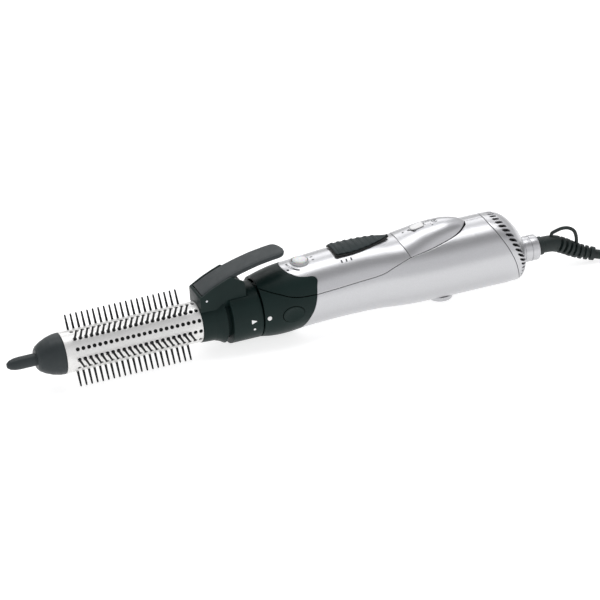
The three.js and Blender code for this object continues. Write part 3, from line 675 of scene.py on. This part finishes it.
def make_cap():
    slots, per = 44, 8
    columns = slots * per
    a = -math.pi / 2 + TAU * np.arange(columns) / columns
    seam, _ = spaced(outline_curve(moved(CAP_SEAM, SPLIT)), 0.1)
    seam_a = GRIP.angle(seam[:, 0], seam[:, 1])
    seam_a[0], seam_a[-1] = math.pi / 2, -math.pi / 2
    near = np.arcsin(np.clip(np.sin(a), -1, 1))
    start = np.interp(near, seam_a[::-1], seam[::-1, 0])
    vent = np.maximum(start + 0.5, np.minimum(start + 3.9, 323.0))
    vent_end = np.minimum(vent + 5.9 - 1.6 * np.maximum(0, np.sin(a)) ** 6, 327.2)
    rows = [start + (vent - start) * t for t in (0, 0.3, 0.7, 1)]
    rows += [vent + (vent_end - vent) * t for t in (0.12, 0.5, 0.88, 1)]
    rows += [vent_end + (329.3 - vent_end) * t for t in (0.2, 0.4, 0.6, 0.8, 0.93, 1)]
    pts = [GRIP.point(x, a) for x in rows]
    for x, r in ((329.9, 9.6), (330.1, 8.6)):
        pts.append(np.stack([x + 0 * a, -r * np.cos(a), REAR_Z + r * np.sin(a)], axis=-1))
    pts = np.array(pts)

    def open_vents(bm):
        bm.faces.ensure_lookup_table()
        gone = []
        for i in range(3, 7):
            for j in range(columns):
                inside = j % per in ((2, 3, 4) if i in (3, 6) else (1, 2, 3, 4, 5))
                if inside and math.sin(a[j]) > -0.62:
                    gone.append(bm.faces[i * columns + j])
        bmesh.ops.delete(bm, geom=gone, context="FACES")

    mesh = edited(grid("cap", pts, around=True), open_vents)
    cap = with_modifiers(mesh, [wall(1.6), soft_edges(0.22, 2, 50)])
    piece("vented_cap", cap, "handle", SILVER, ["rear_cap"])
    # A near-black sheet inside the cap behind the vent slots: painted shade for the dark inside of the vents.
    inner = [GRIP.point(x + 0.8, a, -2.6) for x in (start, vent, (vent + vent_end) / 2, vent_end, vent_end * 0 + 328)]
    vent_shade_sheet = with_modifiers(grid("vent_shade_sheet", np.array(inner), around=True), [wall(0.5)])
    piece("vent_painted_shade", vent_shade_sheet, "handle", DARK)


# ---- barrel, tip and pin strips ----
PIN_PITCH, FIRST_PIN, BARREL_R = 3.43, 40.6, 12.5


def make_barrel():
    hole_r, rows, step = 1.22, 12, TAU / 12
    half_x, half_s = PIN_PITCH / 2, BARREL_R * step / 2
    side = (-1, -0.5, 0, 0.5)
    edge = ([(t, -1) for t in side] + [(1, t) for t in side] + [(-t, 1) for t in side] + [(-1, -t) for t in side])
    edge = [(px * half_x, ps * half_s) for px, ps in edge]
    verts, faces = [], []

    def ring_point(x, s, angle):
        t = angle + s / BARREL_R
        return (x, -BARREL_R * math.cos(t), BARREL_R * math.sin(t))

    for row in range(rows):
        for i in range(23):
            cx = FIRST_PIN + i * PIN_PITCH
            base = len(verts)
            for reach in (hole_r, hole_r * 1.25, None):
                for px, ps in edge:
                    if reach:
                        t = math.atan2(ps * 0.62, px)
                        px, ps = reach * math.cos(t), reach * math.sin(t)
                    verts.append(ring_point(cx + px, ps, row * step))
            faces += [tuple(base + i for i in f) for f in quads(3, 16)]
    ends = [FIRST_PIN - half_x, 36.5, 34.2, 33.5]
    for row in range(rows):
        for x0, x1 in zip(ends, ends[1:]):
            for k in range(4):
                s0, s1 = (k / 2 - 1) * half_s, (k / 2 - 0.5) * half_s
                base = len(verts)
                verts += [ring_point(x0, s0, row * step), ring_point(x0, s1, row * step),
                          ring_point(x1, s1, row * step), ring_point(x1, s0, row * step)]
                faces.append((base, base + 1, base + 2, base + 3))
    mesh = face_out(to_mesh("barrel", verts, faces))
    middle = place((75, 0, 0))
    lean = sum((p.center - middle).dot(p.normal) * (1 if abs(p.normal.x) < 0.5 else 0) for p in mesh.polygons)
    if lean < 0:
        mesh.flip_normals()
    barrel = with_modifiers(mesh, [wall(1.0), soft_edges(0.12, 2, 50)])
    piece("barrel", barrel, "attachment", PEARL, ["barrel_tube"], sharp=28)
    # Near-black film just inside the barrel wall, under the rows of holes without pins: painted shade, so the empty
    # holes read dark.
    shade_sheets = []
    for row in range(6):
        a = math.radians(60 * row + 30) + np.radians(np.linspace(-22, 22, 12))
        rows = [[(x, -11.4 * math.cos(t), 11.4 * math.sin(t)) for t in a] for x in np.linspace(36, 116, 9)]
        shade_sheets.append(with_modifiers(grid("shade_film", rows), [wall(0.15)]))
    piece("barrel_painted_shade", joined("hole_shade", shade_sheets), "attachment", DARK)


def make_strip(k):
    angle = 60.0 * k
    parts = []
    for i in range(21):
        x = FIRST_PIN + i * PIN_PITCH
        rings = [(10.9, 0.8), (13.5, 0.74), (18.5, 0.62), (20.6, 0.57), (21.2, 0.5), (21.48, 0.33), (21.58, 0.1)]
        verts, sides = [], 10
        for r, half in rings:
            verts += turned_about([(x + half * c, half * s, r) for c, s in circle(sides)], angle)
        faces = quads(len(rings), sides) + [tuple(range((len(rings) - 1) * sides, len(rings) * sides))]
        parts.append(face_out(to_mesh("pin", verts, faces)))
    bar = [(x, y, z) for x in (35.4, 114.9) for y, z in ((-0.8, 10.2), (0.8, 10.2), (0.8, 11.1), (-0.8, 11.1))]
    faces = [(0, 1, 2, 3), (7, 6, 5, 4), (0, 4, 5, 1), (1, 5, 6, 2), (2, 6, 7, 3), (3, 7, 4, 0)]
    bar = with_modifiers(face_out(to_mesh("bar", turned_about(bar, angle), faces)), [soft_edges(0.15, 2, 30)])
    name = "strip_%d" % (k + 1)
    piece("pins_%d" % (k + 1), joined(name, parts + [bar]), name, NYLON, ["pin_" + name])


def make_tip():
    profile = rounded(
        [(0, 0), (0.2, 1.4), (2.0, 2.8), (4.8, 3.55), (8, 3.8), (17.7, 3.8), (17.7, 5.9), (19, 7.6), (22, 9.5),
         (26, 11.2), (30, 12.2), (33.2, 12.5), (33.2, 11.2), (34.6, 11.2), (34.6, 2), (33.6, 2), (33.6, 0)],
        [0, 0.5, 1, 1.5, 2, 0.35, 0.5, 1, 2, 3, 3, 0.3, 0.1, 0.3, 0.2, 0, 0], 5)
    piece("tip", lathe("tip", profile), "attachment", SLATE, ["cool_tip"])


# ---- root collar, lever and lock ring ----
LEVER_TOP = [
    (119.7, 20.6), (123, 22.4), (126.3, 24.2), (132.1, 26.8), (137.9, 29.1), (143.7, 30.9), (149.4, 32.4),
    (155.4, 33.8), (161.4, 34.8), (167.5, 35.6), (171.5, 35.8), (174.7, 34.9),
]
PIVOT = (121.9, 17)
BLOCK_HALF = 9.4


def make_collar():
    profile = rounded(
        [(117.9, 10.8), (117.9, 12.9), (126, 13.3), (129.5, 14.6), (132.3, 16.4), (132.3, 13), (168, 13),
         (168, 10.8)], [0.2, 0.3, 2, 2, 0.4, 0.1, 0.3, 0.2], 4, closed=True)
    ring = lathe("collar", profile, closed=True)
    outline = [(117.9, 10), (117.9, 19.4), (123, 22.4), (126.3, 24.2), (132.1, 26.8), (137.9, 29.1), (146.1, 24.2),
               (147.3, 10)]
    block = prism("block", rounded(outline, [0, 1.2, 0.5, 1, 2, 2.2, 2.5, 0], 4, closed=True),
                  -BLOCK_HALF, BLOCK_HALF)
    inside = lathe("bore", [(100, 0), (100, 12.6), (160, 12.6), (160, 0)])
    well_line = [(119.3, 13.6), (119.3, 50), (160, 50), (160, 26), (143, 20.4), (130, 15.4), (126, 13.6)]
    well = prism("well", rounded(well_line, [0.6, 0, 0, 0, 3, 3, 2], 4, closed=True), -8.2, 8.2)
    arm_slot = prism("slot", [(118.4, 2), (124.6, 2), (124.6, 18), (118.4, 18)], -1.8, 1.8)
    mesh = with_modifiers(block, [cut(inside), cut(ring, "UNION"), cut(well), cut(arm_slot),
                                  soft_edges(0.3, 3, 40)])
    piece("collar", mesh, "attachment", BLACK, ["root_collar"])
    heads = []
    for side in (-1, 1):
        y = side * BLOCK_HALF
        outline = [(0, 0.7), (0.25, 0.7), (0.38, 0.5), (0.42, 0)]
        heads.append(turned_pin("rivet", PIVOT, y - side * 0.1, outline, side))
    axle = prism("axle", ellipse(*PIVOT, 1.15, 1.15, 24), -9.0, 9.0)
    piece("lever_axle", joined("axle", heads + [axle]), "attachment", STEEL, ["lever_pin"])


def turned_pin(name, centre, y, profile, side):
    """A turned head across the brush: profile as height off y, radius."""
    sides = 32
    verts = [(centre[0] + r * c, y + side * h, centre[1] + r * s) for h, r in profile for c, s in circle(sides)]
    faces = quads(len(profile), sides) + [tuple(range(sides))]
    return face_out(to_mesh(name, verts, faces))


def make_lever():
    line, _ = spaced(smooth_line([(x, 0, z) for x, z in LEVER_TOP], 10), 0.55)
    tangent = np.gradient(line, axis=0)
    tangent /= np.linalg.norm(tangent, axis=1)[:, None]
    normal = np.stack([-tangent[:, 2], 0 * tangent[:, 0], tangent[:, 0]], axis=1)
    rings = []
    for p, n in zip(line, normal):
        half = 7.85
        if p[0] > 168.5:
            half = 1.65 + math.sqrt(max(0.04, 6.2 ** 2 - (p[0] - 168.5) ** 2))
        half = min(half, 7.85)
        section = [(-half, -0.55), (-half + 0.12, -0.2), (-half + 0.5, 0), (-half * 0.6, 0.14), (0, 0.2),
                   (half * 0.6, 0.14), (half - 0.5, 0), (half - 0.12, -0.2), (half, -0.55), (half, -1.9),
                   (half - 0.3, -2.3), (0, -2.35), (-half + 0.3, -2.3), (-half, -1.9)]
        rings.append([p + n * h + np.array([0, s, 0]) for s, h in section])
    plate = filled(grid("plate", rings, around=True))
    web = prism("web", [(120.4, 15), (120.4, 19.4), (126, 22.2), (131, 24), (124.6, 15)], -4.5, 4.5)
    hub = prism("hub", ellipse(*PIVOT, 2.6, 2.6, 32), -4.4, 4.4)
    arm = prism("arm", rounded([(120.7, 2.2), (123.1, 2.2), (123.1, 16), (120.7, 16)], 0.5, 3, closed=True),
                -1.2, 1.2)
    under = with_modifiers(joined("under", [web, hub, arm]), [soft_edges(0.25, 2, 40)])
    piece("lever_plate", joined("lever", [plate, under]), "lever", SLATE, ["thumb_lever"], sharp=50)


def make_lock_ring():
    profile = rounded(
        [(135.4, 13.3), (135.4, 17.4), (154.2, 17.4), (154.2, 13.3)], [0.1, 0.6, 0.6, 0.1], 5, closed=True)
    ring = lathe("ring", profile, 128, closed=True)
    block = prism("block", [(100, 8), (147.6, 8), (147.6, 50), (100, 50)], -9.7, 9.7)
    mesh = with_modifiers(ring, [cut(block), soft_edges(0.25, 2, 50)])
    piece("twist_ring", mesh, "lock_collar", BLACK, ["lock_ring"])

    def on_ring(name, outline, finish):
        # outline as x, distance round the ring from the side of the release button
        verts = [(x, -17.5 * math.cos(s / 17.4), 17.5 * math.sin(s / 17.4)) for x, s in outline]
        mesh = turned_to(to_mesh(name, verts, [tuple(range(len(verts)))]), (0, -1, 0))
        piece(name, with_modifiers(mesh, [wall(0.25)]), "lock_collar", finish)

    on_ring("ring_arrow", rounded([(146.4, -0.7), (150, 0.7), (146.4, 2.1)], 0.2, 2, closed=True), PALE_PRINT)
    on_ring("ring_dot", ellipse(148.2, -4.8, 0.75, 0.75, 24), PALE_PRINT)


# ---- controls on the handle ----
def arc_band(cx, cy, r, start, end, width, steps=14):
    """Outline of a curved band, x and y; angles in degrees from +x."""
    a = np.radians(np.linspace(start, end, steps))
    outer = [(cx + (r + width / 2) * math.cos(t), cy + (r + width / 2) * math.sin(t)) for t in a]
    return outer + [(cx + (r - width / 2) * math.cos(t), cy + (r - width / 2) * math.sin(t)) for t in a[::-1]]


def printed(name, tube, outlines):
    """Marks on the top of a shell, given as outlines in x and y."""
    meshes, lift = [], 0.07
    for outline in outlines:
        verts = []
        for x, y in outline:
            r = float(tube.at(x)[0])
            verts.append(tube.point(x, math.acos(max(-1, min(1, -y / (r + lift)))), lift))
        mesh = turned_to(to_mesh(name, verts, [tuple(range(len(verts)))]), (0, 0, 1))
        meshes.append(edited(mesh, lambda bm: bmesh.ops.triangulate(bm, faces=bm.faces, ngon_method="EAR_CLIP")))
    piece(name, with_modifiers(joined(name, meshes), [wall(0.18)]), "handle", PRINT)


def lathe_up(name, profile, cx, cy, sides=64):
    """Turned about an upright axis: profile as height, radius."""
    verts = [(cx + max(r, 0.01) * c, cy + max(r, 0.01) * s, z) for z, r in profile for c, s in circle(sides)]
    n = len(profile)
    faces = quads(n, sides) + [tuple(range(sides)), tuple(range((n - 1) * sides, n * sides))]
    return face_out(to_mesh(name, verts, faces))


SWITCH_PLAN = [(205.2, 7.6), (205.6, 8.3), (216, 8.6), (222, 8.0), (228, 6.9), (236, 4.6), (241, 2.2), (243, 0.4)]


def switch_top(name, grow, radius, xs):
    """Rows across the slide switch, on a curve of its own over the shell."""
    plan = np.array(SWITCH_PLAN)
    rows = []
    for x in xs:
        t = 205.2 + (x - 205.2 + grow) / (37.8 + 2 * grow) * 37.8
        half = float(np.interp(t, plan[:, 0], plan[:, 1])) + grow
        r = radius(x)
        a = np.linspace(-1, 1, 17) * math.asin(half / r)
        rows.append([(x, r * math.sin(t), 5 + r * math.cos(t)) for t in a])
    return grid(name, rows)


def make_switch():
    def ribbed(x):
        near = (x - 208.8) % 4.2
        near = min(near, 4.2 - near)
        rib = 0.42 * (0.5 + 0.5 * math.tanh((0.95 - near) / 0.28)) if 207 < x < 235.6 else 0.0
        edge = min(1.0, (x - 205.2) / 1.2, (243 - x) / 6)
        return 22.6 + 0.7 * max(0.0, edge) ** 0.5 + rib

    top = switch_top("switch", -0.9, ribbed, np.arange(205.9, 242.3, 0.24))
    steps = [wall(0.9), soft_edges(0.15, 2, 55)]
    piece("switch_pad", with_modifiers(top, steps), "slide_switch", SWITCH, ["slide_switch"], sharp=50)
    skirt = switch_top("skirt", 0, lambda x: 22.35 + 0.35 * min(1, (x - 205) / 1.5), np.arange(205.2, 243.1, 0.9))
    stem = prism("stem", [(222, 21.4), (228, 21.4), (228, 27.5), (222, 27.5)], -1.6, 1.6)
    mesh = joined("skirt", [with_modifiers(skirt, [wall(0.55), soft_edges(0.15, 2, 50)]),
                            with_modifiers(stem, [soft_edges(0.2, 2, 40)])])
    piece("switch_skirt", mesh, "slide_switch", DARK)


def make_buttons():
    dome = [(19.8, 0), (19.8, 1.8), (22, 1.8), (22, 4.7), (24.7, 4.7), (25.2, 4.6), (25.7, 4.2), (26.1, 3.6),
            (26.35, 2.7), (26.5, 1.5), (26.55, 0)]
    piece("cool_dome", lathe_up("dome", dome, COOL_X, 0), "cool_button", FROSTED, ["cool_button"])
    ring = rounded([(23.2, 5.1), (23.2, 6.5), (24.4, 6.4), (24.95, 5.6), (24.7, 5.1)], 0.2, 3, closed=True)
    rim = lathe_up("rim", ring + ring[:1], COOL_X, 0)
    seat = lathe_up("seat", [(21.4, 0), (21.4, 4.9), (21.9, 4.9), (21.9, 0)], COOL_X, 0)
    piece("cool_rim", rim, "handle", GREY)
    piece("cool_seat", seat, "handle", DARK)

    verts, rings, sides = [], 14, 64
    for i in range(rings + 1):
        t = 1 - i / rings
        for c, s in circle(sides):
            x = RELEASE_X + 6.6 * max(t, 0.001) * c
            z = RELEASE_Z + 4.9 * max(t, 0.001) * s
            angle = float(GRIP.angle(x, z))
            y = GRIP.point(x, angle)[1]
            dish = 1.25 * (1 - (t / 0.9) ** 2) if t < 0.9 else 0.0
            verts.append((x, y - 0.25 + dish, z))
    mesh = turned_to(to_mesh("release", verts, quads(rings + 1, sides)), (0, -1, 0))
    pad = with_modifiers(mesh, [wall(2.4), soft_edges(0.25, 3, 50)])
    stem = prism("stem", ellipse(RELEASE_X, RELEASE_Z, 1.6, 1.6, 24), -18.2, -13.9)
    piece("release_pad", joined("release", [pad, stem]), "release_button", BLACK, ["release_button"])

    dot = [(0, 1.4), (0.25, 1.4), (0.42, 1.2), (0.46, 0)]
    y = float(GRIP.point(DOT_X, GRIP.angle(DOT_X, RELEASE_Z))[1])
    piece("lock_dot", turned_pin("dot", (DOT_X, RELEASE_Z), y + 0.4, [(-0.6, 1.4)] + dot, -1),
          "handle", WHITE, ["index_dot"])

    plate = [HUMP.point(x, np.radians(np.linspace(90 - w, 90 + w, 11)), 0.95)
             for x, w in ((257.6, 3.5), (258, 5.6), (259, 7.4), (260.5, 8.4), (262, 8.6), (265, 8.6), (265.6, 8.2))]
    mesh = with_modifiers(grid("slider", plate), [wall(0.7), soft_edges(0.2, 3, 50)])
    stem = prism("stem", [(259.4, 24.6), (263.4, 24.3), (263.4, 27.6), (259.4, 28.9)], -1.5, 1.5)
    piece("ion_knob", joined("slider", [mesh, stem]), "ion_slider", WHITE, ["ion_slider"])
    lines = [[(x, -1.9), (x + 0.45, -1.9), (x + 0.45, 1.9), (x, 1.9)] for x in (267.0, 268.5, 270.0)]
    frame_line = [(255.4, 0), (258.6, -3.8), (271.2, -3.8), (271.2, -3.2), (259.3, -2.9), (256.9, 0), (259.3, 2.9),
                  (271.2, 3.2), (271.2, 3.8), (258.6, 3.8)]
    printed("ion_outline", HUMP, [frame_line] + lines)
    printed("ion_marks", HUMP, [ellipse(252.6, 0, 0.6, 0.6, 20), ellipse(273.6, 0, 0.6, 0.6, 20),
                                arc_band(273.6, 0, 1.6, 20, 340, 0.4, 24)])
    printed("cool_marks", GRIP, [arc_band(COOL_X, 0, 8.8, 176, 247, 1.0), ellipse(175.2, -5.6, 0.75, 0.75, 20),
                                 [(191.6, -3.6), (193.2, -3.6), (193.2, -3.0), (191.6, -3.0)],
                                 [(191.6, -0.4), (193.2, -0.4), (193.2, 0.2), (191.6, 0.2)]])
    printed("switch_ticks", GRIP, [[(x, -11.7), (x + 0.9, -11.7), (x + 0.9, -9.8), (x, -9.8)]
                                   for x in (207.4, 210.5, 213.6)])


# ---- rear fittings ----
RELIEF_PATH = [
    (330, 0, -3.4), (342, 0, -3.4), (348, 0, -3.3), (354, -0.3, -3.9), (360, -1, -6.4), (366, -2, -9.8),
    (372, -3.6, -12.4), (379, -6, -14.4),
]


def make_rear():
    bush = rounded([(326.5, 4), (326.5, 8.1), (331.2, 8.1), (331.2, 7.7), (331.8, 7.7), (331.8, 8.1), (336, 8.1),
                    (336, 7.7), (336.6, 7.7), (336.6, 8.1), (341.6, 8.1), (341.6, 6.2), (340.9, 5.9), (340.9, 4)],
                   [0, 0.3, 0.15, 0.1, 0.1, 0.15, 0.15, 0.1, 0.1, 0.15, 0.9, 0.3, 0.1, 0], 3, closed=True)
    piece("bush", lathe("bush", bush, 96, 0, REAR_Z, closed=True), "handle", SILVER, ["cord_bush"])

    line, along = spaced(smooth_line(RELIEF_PATH, 12), 0.2)
    x = line[:, 0]
    radius = np.interp(x, [330, 341, 342, 358, 362, 379], [3.7, 3.7, 5.1, 5.2, 5.15, 4.25])
    ribs = (x > 356.4) & (x < 378.4)
    wave = ((along - along[np.argmax(ribs)]) / 3.55) % 1.0
    radius = np.where(ribs & (wave < 0.36), 3.2, radius)
    radius = np.convolve(np.pad(radius, 1, mode="edge"), [0.25, 0.5, 0.25], "valid")
    stem = sweep("relief", line, radius, 36)
    flange = lathe("flange", rounded([(341.9, 0.4), (341.9, 5.8), (345.6, 5.8), (345.6, 0.4)],
                                     [0, 0.4, 0.5, 0], 3), 64, 0, REAR_Z)
    relief = piece("relief", joined("relief", [stem, flange]), "handle", RUBBER, ["strain_relief"])
    points = [(352.5, 0, 3.2 - 1.6), (353, 0, 3.2), (356, 0, 4.3), (360, 0, 5), (364, -0.6, 4.6), (367.4, -1.4, 2.4),
              (368.6, -2, -1), (368.8, -2.4, -4.8), (368.6, -2.4, -7)]
    loop = spaced(smooth_line(points, 10), 0.5)[0]
    piece("hang_loop", sweep("loop", loop, np.full(len(loop), 1.1), 20), "handle", RUBBER, ["hanging_loop"])

    pad = prism("pad", stadium(274, 0, 15, 25.2, 64), -18.9, -16.4, "xy")
    piece("rest_pad", with_modifiers(pad, [soft_edges(0.18, 2, 40)]), "handle", SILVER, ["foot"])
    return relief


# ---- cord: a hank of three turns held by a strap, and a plug ----
CORD_Z = -15.85
LEAD_PATH = [
    (379.3, -6.1, -14.5), (385, -8.3, -15.5), (391, -11, CORD_Z), (398, -14.6, CORD_Z), (405, -18.2, CORD_Z),
    (412, -21.2, CORD_Z), (420, -23.4, CORD_Z), (429, -24, CORD_Z),
]
HANK_Y, LEFT_FOLD, RIGHT_FOLD, WIDE, NARROW = 0, 442, 534, 24, 18
TAIL_PATH = [
    (500, -24, -3.85), (512, -23.6, -1.6), (524, -21.6, 1.4), (536, -18.4, 2.6), (548, -14.8, 2.8), (559, -12, 2.2),
    (571, -10.5, -0.8), (584, -10, -4.5), (597.7, -10, -5.9),
]


def ease(u, start, end):
    t = min(1, max(0, (u - start) / (end - start)))
    return (1 - math.cos(math.pi * t)) / 2


def hank_points():
    """Each turn runs out along one side, folds, comes back along the other and folds again."""
    step = NARROW - WIDE
    turns = [
        (lambda u: WIDE + step * ease(u, 0.6, 1), lambda u: 0),
        (lambda u: NARROW, lambda u: ease(u, 0.4, 0.6)),
        (lambda u: NARROW - step * ease(u, 0.2, 0.4), lambda u: 1),
        (lambda u: WIDE + step * ease(u, 0.6, 1), lambda u: 1 + ease(u, 0, 0.2)),
        (lambda u: NARROW - step * ease(u, 0.58, 1), lambda u: 2 + ease(u, 0.33, 0.58)),
    ]
    run = RIGHT_FOLD - LEFT_FOLD
    out = []
    for radius, layer in turns:
        r0, l0 = radius(0), layer(0)
        z = CORD_Z + 6 * l0
        out += [(LEFT_FOLD + run * k / 8, HANK_Y - r0, z) for k in range(8)]
        out += [(RIGHT_FOLD + r0 * math.sin(math.pi * k / 12), HANK_Y - r0 * math.cos(math.pi * k / 12), z)
                for k in range(12)]
        total = run + math.pi * 21
        for k in range(10):
            u = k / 10 * run / total
            out.append((RIGHT_FOLD - run * k / 10, HANK_Y + radius(u), CORD_Z + 6 * layer(u)))
        for k in range(12):
            u = (run + math.pi * 21 * k / 12) / total
            a = math.pi * k / 12
            out.append((LEFT_FOLD - radius(u) * math.sin(a), HANK_Y + radius(u) * math.cos(a),
                        CORD_Z + 6 * layer(u)))
    top = CORD_Z + 12
    for k in range(5):
        out.append((LEFT_FOLD + 10.4 * k, HANK_Y - WIDE, top + 6 * (1 - ease(10.4 * k, 0, 40))))
    return out


def make_cord(relief):
    start = [p for p in RELIEF_PATH if p[0] >= 342]
    whole = start[:-1] + LEAD_PATH[:-1] + hank_points()[1:] + TAIL_PATH
    line, _ = spaced(smooth_line(whole, 6), 2.2)
    curve = bpy.data.curves.new("flex", "CURVE")
    curve.dimensions = "3D"
    curve.bevel_depth = 0.003
    curve.bevel_resolution = 4
    curve.use_fill_caps = True
    spline = curve.splines.new("POLY")
    spline.points.add(len(line) - 1)
    for point, p in zip(spline.points, line):
        point.co = (*place(p), 1)
    curve.materials.append(RUBBER)
    flex = in_scene("flex", curve)
    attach(flex, "handle")
    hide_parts("cord_lead", "cord_hank", "cord_tail")

    outer = rounded([(-27.5, -18.9), (27.5, -18.9), (27.5, -0.7), (-27.5, -0.7)], 5.5, 8, closed=True)
    inner = rounded([(-26.6, -18.4), (26.6, -18.4), (26.6, -1.6), (-26.6, -1.6)], 4.6, 8, closed=True)
    band = with_modifiers(prism("band", outer, 483, 493, "yz"),
                          [cut(prism("inner", inner, 480, 496, "yz")), soft_edges(0.25, 2, 50)])
    tab = prism("tab", [(-13, -0.9), (9, -0.9), (9, 0.3), (-13, 0.3)], 483.6, 492.4, "yz")
    button = lathe_up("button", [(0, 0), (0, 2.2), (0.8, 2.2), (1.2, 1.8), (1.3, 0)], 488, 4, 32)
    strap = joined("strap", [band, with_modifiers(tab, [soft_edges(0.4, 3, 40)]), button])
    tie = piece("cord_strap", strap, "handle", RUBBER, ["cord_tie"])

    cx, cy, cz = 598, -10, -5.9
    rows = []
    for dx, half_y, half_z, power in ((13, 7, 6.2, 2), (13.4, 8, 7, 2), (15, 10.2, 8.6, 2), (18, 13.4, 10.6, 2.2),
                                      (22, 15.4, 11.7, 2.4), (30, 16.5, 12.3, 2.6), (40, 17.2, 12.5, 2.8),
                                      (44.6, 17.4, 12.6, 2.8), (45.6, 17, 12.2, 2.8), (46, 16, 11.4, 2.8)):
        ring = []
        for c, s in circle(64):
            ring.append((cx + dx, cy + math.copysign(half_y * abs(c) ** (2 / power), c),
                         cz + math.copysign(half_z * abs(s) ** (2 / power), s)))
        rows.append(ring)
    grip = filled(grid("plug", rows, around=True), recalc=False)
    neck = [(0, 3.2), (0, 4.6)]
    for k in range(4):
        x = 1.8 + 3 * k
        neck += [(x, 4.6), (x, 3.9), (x + 0.9, 3.9), (x + 0.9, 4.6)]
    neck += [(14, 4.6), (14, 3.2)]
    neck = lathe("neck", [(cx + dx, r) for dx, r in neck], 48, cy, cz, closed=True)
    ribs = [prism("rib", stadium(cx + x, cy, 1.6, 17, 24), cz + 11.2, cz + 12.75, "xy")
            for x in (27, 31, 35, 39)]
    body = joined("plug", [face_out(grip), neck] + [with_modifiers(g, [soft_edges(0.4, 2, 40)]) for g in ribs])
    plug = piece("plug", body, "handle", RUBBER, ["plug_body"])
    for i, dy in enumerate((-9.5, 9.5)):
        profile = [(cx + dx, r) for dx, r in ((46.2, 0), (46.2, 2.4), (62.8, 2.4), (64.2, 2.05), (65, 1.3),
                                              (65.3, 0))]
        piece("plug_prong_%d" % (i + 1), lathe("prong", profile, 40, cy + dy, cz), "handle", BRASS,
                          ["plug_pin_%d" % (i + 1)])


def finish_inner_parts():
    """The CAD pieces inside stay as they are, and get the finish of their kind."""
    finishes = {
        BLACK: "bayonet_ring strip_guide outlet_grille motor_mount power_switch",
        STEEL: "cam_rod lever_spring cool_button_spring release_spring motor fan_shaft intake_filter"
               " screw_1 screw_2 screw_3 screw_4",
        MICA: "heater_frame heat_shield", WIRE: "heater_coil", BOARD: "circuit_board",
        WHITE: "impeller ion_module", BRASS: "thermostat",
    }
    for finish, names in finishes.items():
        for name in names.split():
            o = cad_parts[name]
            o.data.materials.clear()
            o.data.materials.append(finish)


def make_stage():
    mesh = bpy.data.meshes.new("floor")
    s = 6.0
    mesh.from_pydata([(-s, -s, -0.0004), (s, -s, -0.0004), (s, s, -0.0004), (-s, s, -0.0004)], [], [(0, 1, 2, 3)])
    floor = in_scene("floor", mesh)
    paper = plastic("floor_paper", (0.55, 0.55, 0.55), 0.9, grain=300, bump=0.02, spread=0.01, spec=0.1)
    glow = paper.node_tree.nodes["Principled BSDF"].inputs
    glow["Emission Color"].default_value = (1, 1, 1, 1)
    glow["Emission Strength"].default_value = 0.74
    mesh.materials.append(paper)


bpy.context.scene.view_settings.view_transform = "Standard"
make_camera()
make_world()
make_stage()
soft_box("top", (0.1, 0.25, 1.2), (0, 0, 0), (1.4, 0.5), 5)
soft_box("rear", (0.2, 1.0, 0.8), (0, 0, 0.02), (1.4, 0.5), 3)
make_cord(make_rear())
make_shells()
make_barrel()
for strip in range(6):
    make_strip(strip)
make_tip()
make_collar()
make_lever()
make_lock_ring()
make_switch()
make_buttons()
finish_inner_parts()
